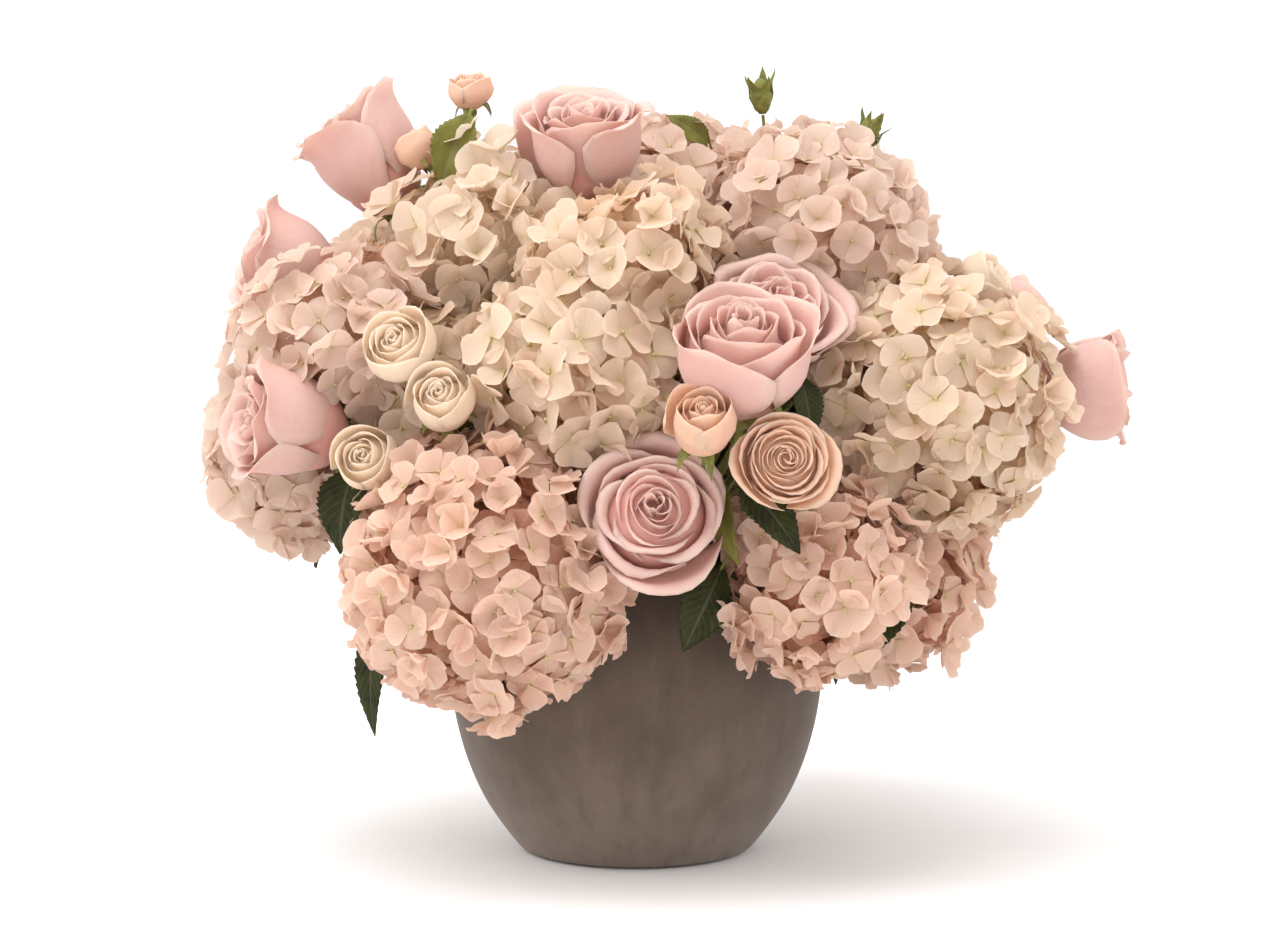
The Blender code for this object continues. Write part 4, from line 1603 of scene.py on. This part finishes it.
# Name, facing, form, petals, turn about the stem, free space in front, and nod.
ROSES = (
    ("centre", (4, 50), RoseForm.HIGH_CENTRED, 22, 0.0, 0.000, 8.0),
    ("low_centre", (2, 14), RoseForm.SWIRLED, 25, 0.0, 0.000, 10.0),
    ("centre_back", (18, 46), RoseForm.LOOSE, 22, 0.0, 0.000, 0.0),
    ("top", (-12, 70), RoseForm.BARREL, 20, 0.6, 0.090, 0.0),
    ("top_left", (-95, 56), RoseForm.BARREL, 20, 0.0, 0.000, 0.0),
    ("left_upper", (-82, 22), RoseForm.BARREL, 18, 0.0, 0.060, 0.0),
    ("left_lower", (-70, 10), RoseForm.BARREL, 18, 0.0, 0.050, 0.0),
    ("right", (82, 6), RoseForm.BARREL, 18, 0.0, 0.050, 0.0),
    ("right_back", (105, 32), RoseForm.CUPPED, 18, 0.0, 0.000, 0.0),
    ("back_left", (-152, 30), RoseForm.SWIRLED, 24, 0.0, 0.000, 0.0),
    ("back_right", (166, 24), RoseForm.HIGH_CENTRED, 22, 0.0, 0.000, 0.0),
)
# Name, facing, form, petals, finish, free space in front, and nod.
SPRAY_BLOOMS = (
    ("cream_upper", (-20, 12), RoseForm.CUPPED, 17, SPRAY_CREAM, 0.000, 24.0),
    ("cream_middle", (-12, 8), RoseForm.CUPPED, 15, SPRAY_CREAM, 0.000, 30.0),
    ("cream_lower", (-16, 4), RoseForm.CUPPED, 15, SPRAY_CREAM, 0.000, 22.0),
    ("peach_bud_shaped", (-2, 34), RoseForm.CUPPED, 15, SPRAY_PEACH, 0.000, 18.0),
    ("peach_open", (8, 12), RoseForm.ROSETTE, 27, SPRAY_PEACH, 0.000, 8.0),
    ("peach_top", (-30, 78), RoseForm.CUPPED, 14, SPRAY_PEACH, 0.000, 0.0),
    ("peach_behind_leaf", (-100, 55), RoseForm.CUPPED, 14, SPRAY_PEACH, 0.000, 0.0),
    ("peach_left_high", (-70, 45), RoseForm.LOOSE, 16, SPRAY_PEACH, 0.040, 0.0),
    ("cream_right", (70, 38), RoseForm.CUPPED, 16, SPRAY_CREAM, 0.060, 0.0),
    ("peach_back", (140, 24), RoseForm.ROSETTE, 22, SPRAY_PEACH, 0.000, 0.0),
)
BUDS = (("inner", (-60, 84)), ("outer", (70, 62)))
STALKS = ("cream_left", "peach_centre", "top_left", "right", "back", "buds")
# Name, foot, tip, width, the way its upper side faces, droop, and finish.
LEAVES = (
    ("top_left", (-0.101, -0.024, 0.457), (-0.120, -0.034, 0.412), 0.029, (-15, 10), 0.004, LEAF_OLIVE),
    ("top", (0.046, 0.052, 0.436), (0.020, 0.050, 0.456), 0.017, (-20, 40), 0.003, LEAF_OLIVE),
    ("left", (-0.166, -0.092, 0.250), (-0.177, -0.118, 0.203), 0.034, (-25, 25), 0.006, LEAF_DARK),
    ("left_drooping", (-0.155, -0.060, 0.157), (-0.161, -0.080, 0.085), 0.022, (-30, 15), 0.006, LEAF_DARK),
    ("front", (0.050, -0.146, 0.196), (0.028, -0.154, 0.148), 0.030, (8, 20), 0.006, LEAF_DARK),
    ("centre", (0.062, -0.160, 0.248), (0.094, -0.190, 0.213), 0.028, (-5, 40), 0.005, LEAF_DARK),
    ("centre_curled", (0.048, -0.148, 0.250), (0.056, -0.176, 0.204), 0.020, (-35, 20), 0.006, LEAF_OLIVE),
    ("right_low", (0.166, -0.098, 0.186), (0.132, -0.124, 0.134), 0.019, (20, 20), 0.005, LEAF_DARK),
    ("rim_right", (0.110, -0.074, 0.158), (0.122, -0.094, 0.120), 0.018, (35, 20), 0.004, LEAF_DARK),
    ("behind_rose", (0.096, -0.128, 0.306), (0.103, -0.152, 0.272), 0.020, (15, 30), 0.004, LEAF_DARK),
    ("back_left", (-0.160, 0.078, 0.218), (-0.212, 0.096, 0.168), 0.038, (-110, 35), 0.008, LEAF_DARK),
    ("back_right", (0.158, 0.070, 0.214), (0.208, 0.090, 0.160), 0.038, (110, 35), 0.008, LEAF_DARK),
)


@dataclass
class Centrepiece:
    """The bowl and everything that stands in it."""

    bowl: Bowl = field(default_factory=Bowl)
    heads: list[HydrangeaHead] = field(default_factory=list)
    roses: list[RoseHead] = field(default_factory=list)
    leaves: list[Leaf] = field(default_factory=list)

    def __post_init__(self) -> None:
        """Reads every flower's place and size from the solid model."""
        for i, (name, facing, finish, floret) in enumerate(HYDRANGEAS):
            self.heads.append(HydrangeaHead("hydrangea_" + name, facing, finish, HEAD_SEED + i, floret))
        for i, (name, facing, form, petals, spin, clear, nod) in enumerate(ROSES):
            self.roses.append(
                RoseHead(
                    "rose_" + name,
                    facing,
                    form,
                    ROSE_BLUSH,
                    ROSE_SEED + i,
                    petals,
                    spin=spin,
                    clear=clear,
                    nod=nod,
                )
            )
        for i, (name, facing, form, petals, finish, clear, nod) in enumerate(SPRAY_BLOOMS):
            self.roses.append(
                RoseHead(
                    "spray_bloom_" + name,
                    facing,
                    form,
                    finish,
                    SPRAY_SEED + i,
                    petals,
                    crown=0.016,
                    stem=0.0,
                    columns=9,
                    rows=9,
                    clear=clear,
                    nod=nod,
                )
            )
        for i, (name, base, tip, width, facing, droop, finish) in enumerate(LEAVES):
            seed = LEAF_SEED + i
            self.leaves.append(Leaf("leaf_" + name, base, tip, width, facing, droop, finish, seed))

    def blocked(self, place: Vector, room: float) -> bool:
        """Tells whether a floret would stand in something's way.

        Args:
            place: the floret's middle.
            room: 1 to keep the places in front of roses and leaves free too, and 0 not to.

        Returns:
            True where no floret can stand.
        """
        if place.z < RIM_LEVEL and math.hypot(place.x, place.y) < RIM_REACH:
            return True
        for rose in self.roses:
            arm = place - rose.size.base
            up = arm.dot(rose.size.out)
            across = (arm - rose.size.out * up).length
            if 0 < up < rose.size.length * 1.02 and across < rose.size.radius * 0.94:
                return True
            arm -= rose.size.out * rose.size.length / 2
            if math.hypot(arm.x, arm.z) < rose.size.radius * 0.92 and -rose.clear * room < arm.y < 0:
                return True
        return bool(room) and any(leaf.covers(place) for leaf in self.leaves)

    def build(self) -> None:
        """Builds every piece."""
        self.bowl.build()
        dress("floral_foam", WET_FOAM)
        keepouts = [Keepout(head.node, head.centre, head.radius) for head in self.heads]
        for head in self.heads:
            head.build(keepouts, self.blocked)
        for rose in self.roses:
            rose.build()
        for i, (name, facing) in enumerate(BUDS):
            GreenBud("spray_green_bud_" + name, facing, BUD_SEED + i).build()
        for name in STALKS:
            dress("spray_stalk_" + name, STEM_GREEN)
        for leaf in self.leaves:
            leaf.build()


def main() -> None:
    """Builds the studio and the centrepiece."""
    logging.basicConfig(level=logging.INFO, format="%(message)s")
    Studio().build()
    Centrepiece().build()


if __name__ == "__main__":
    main()
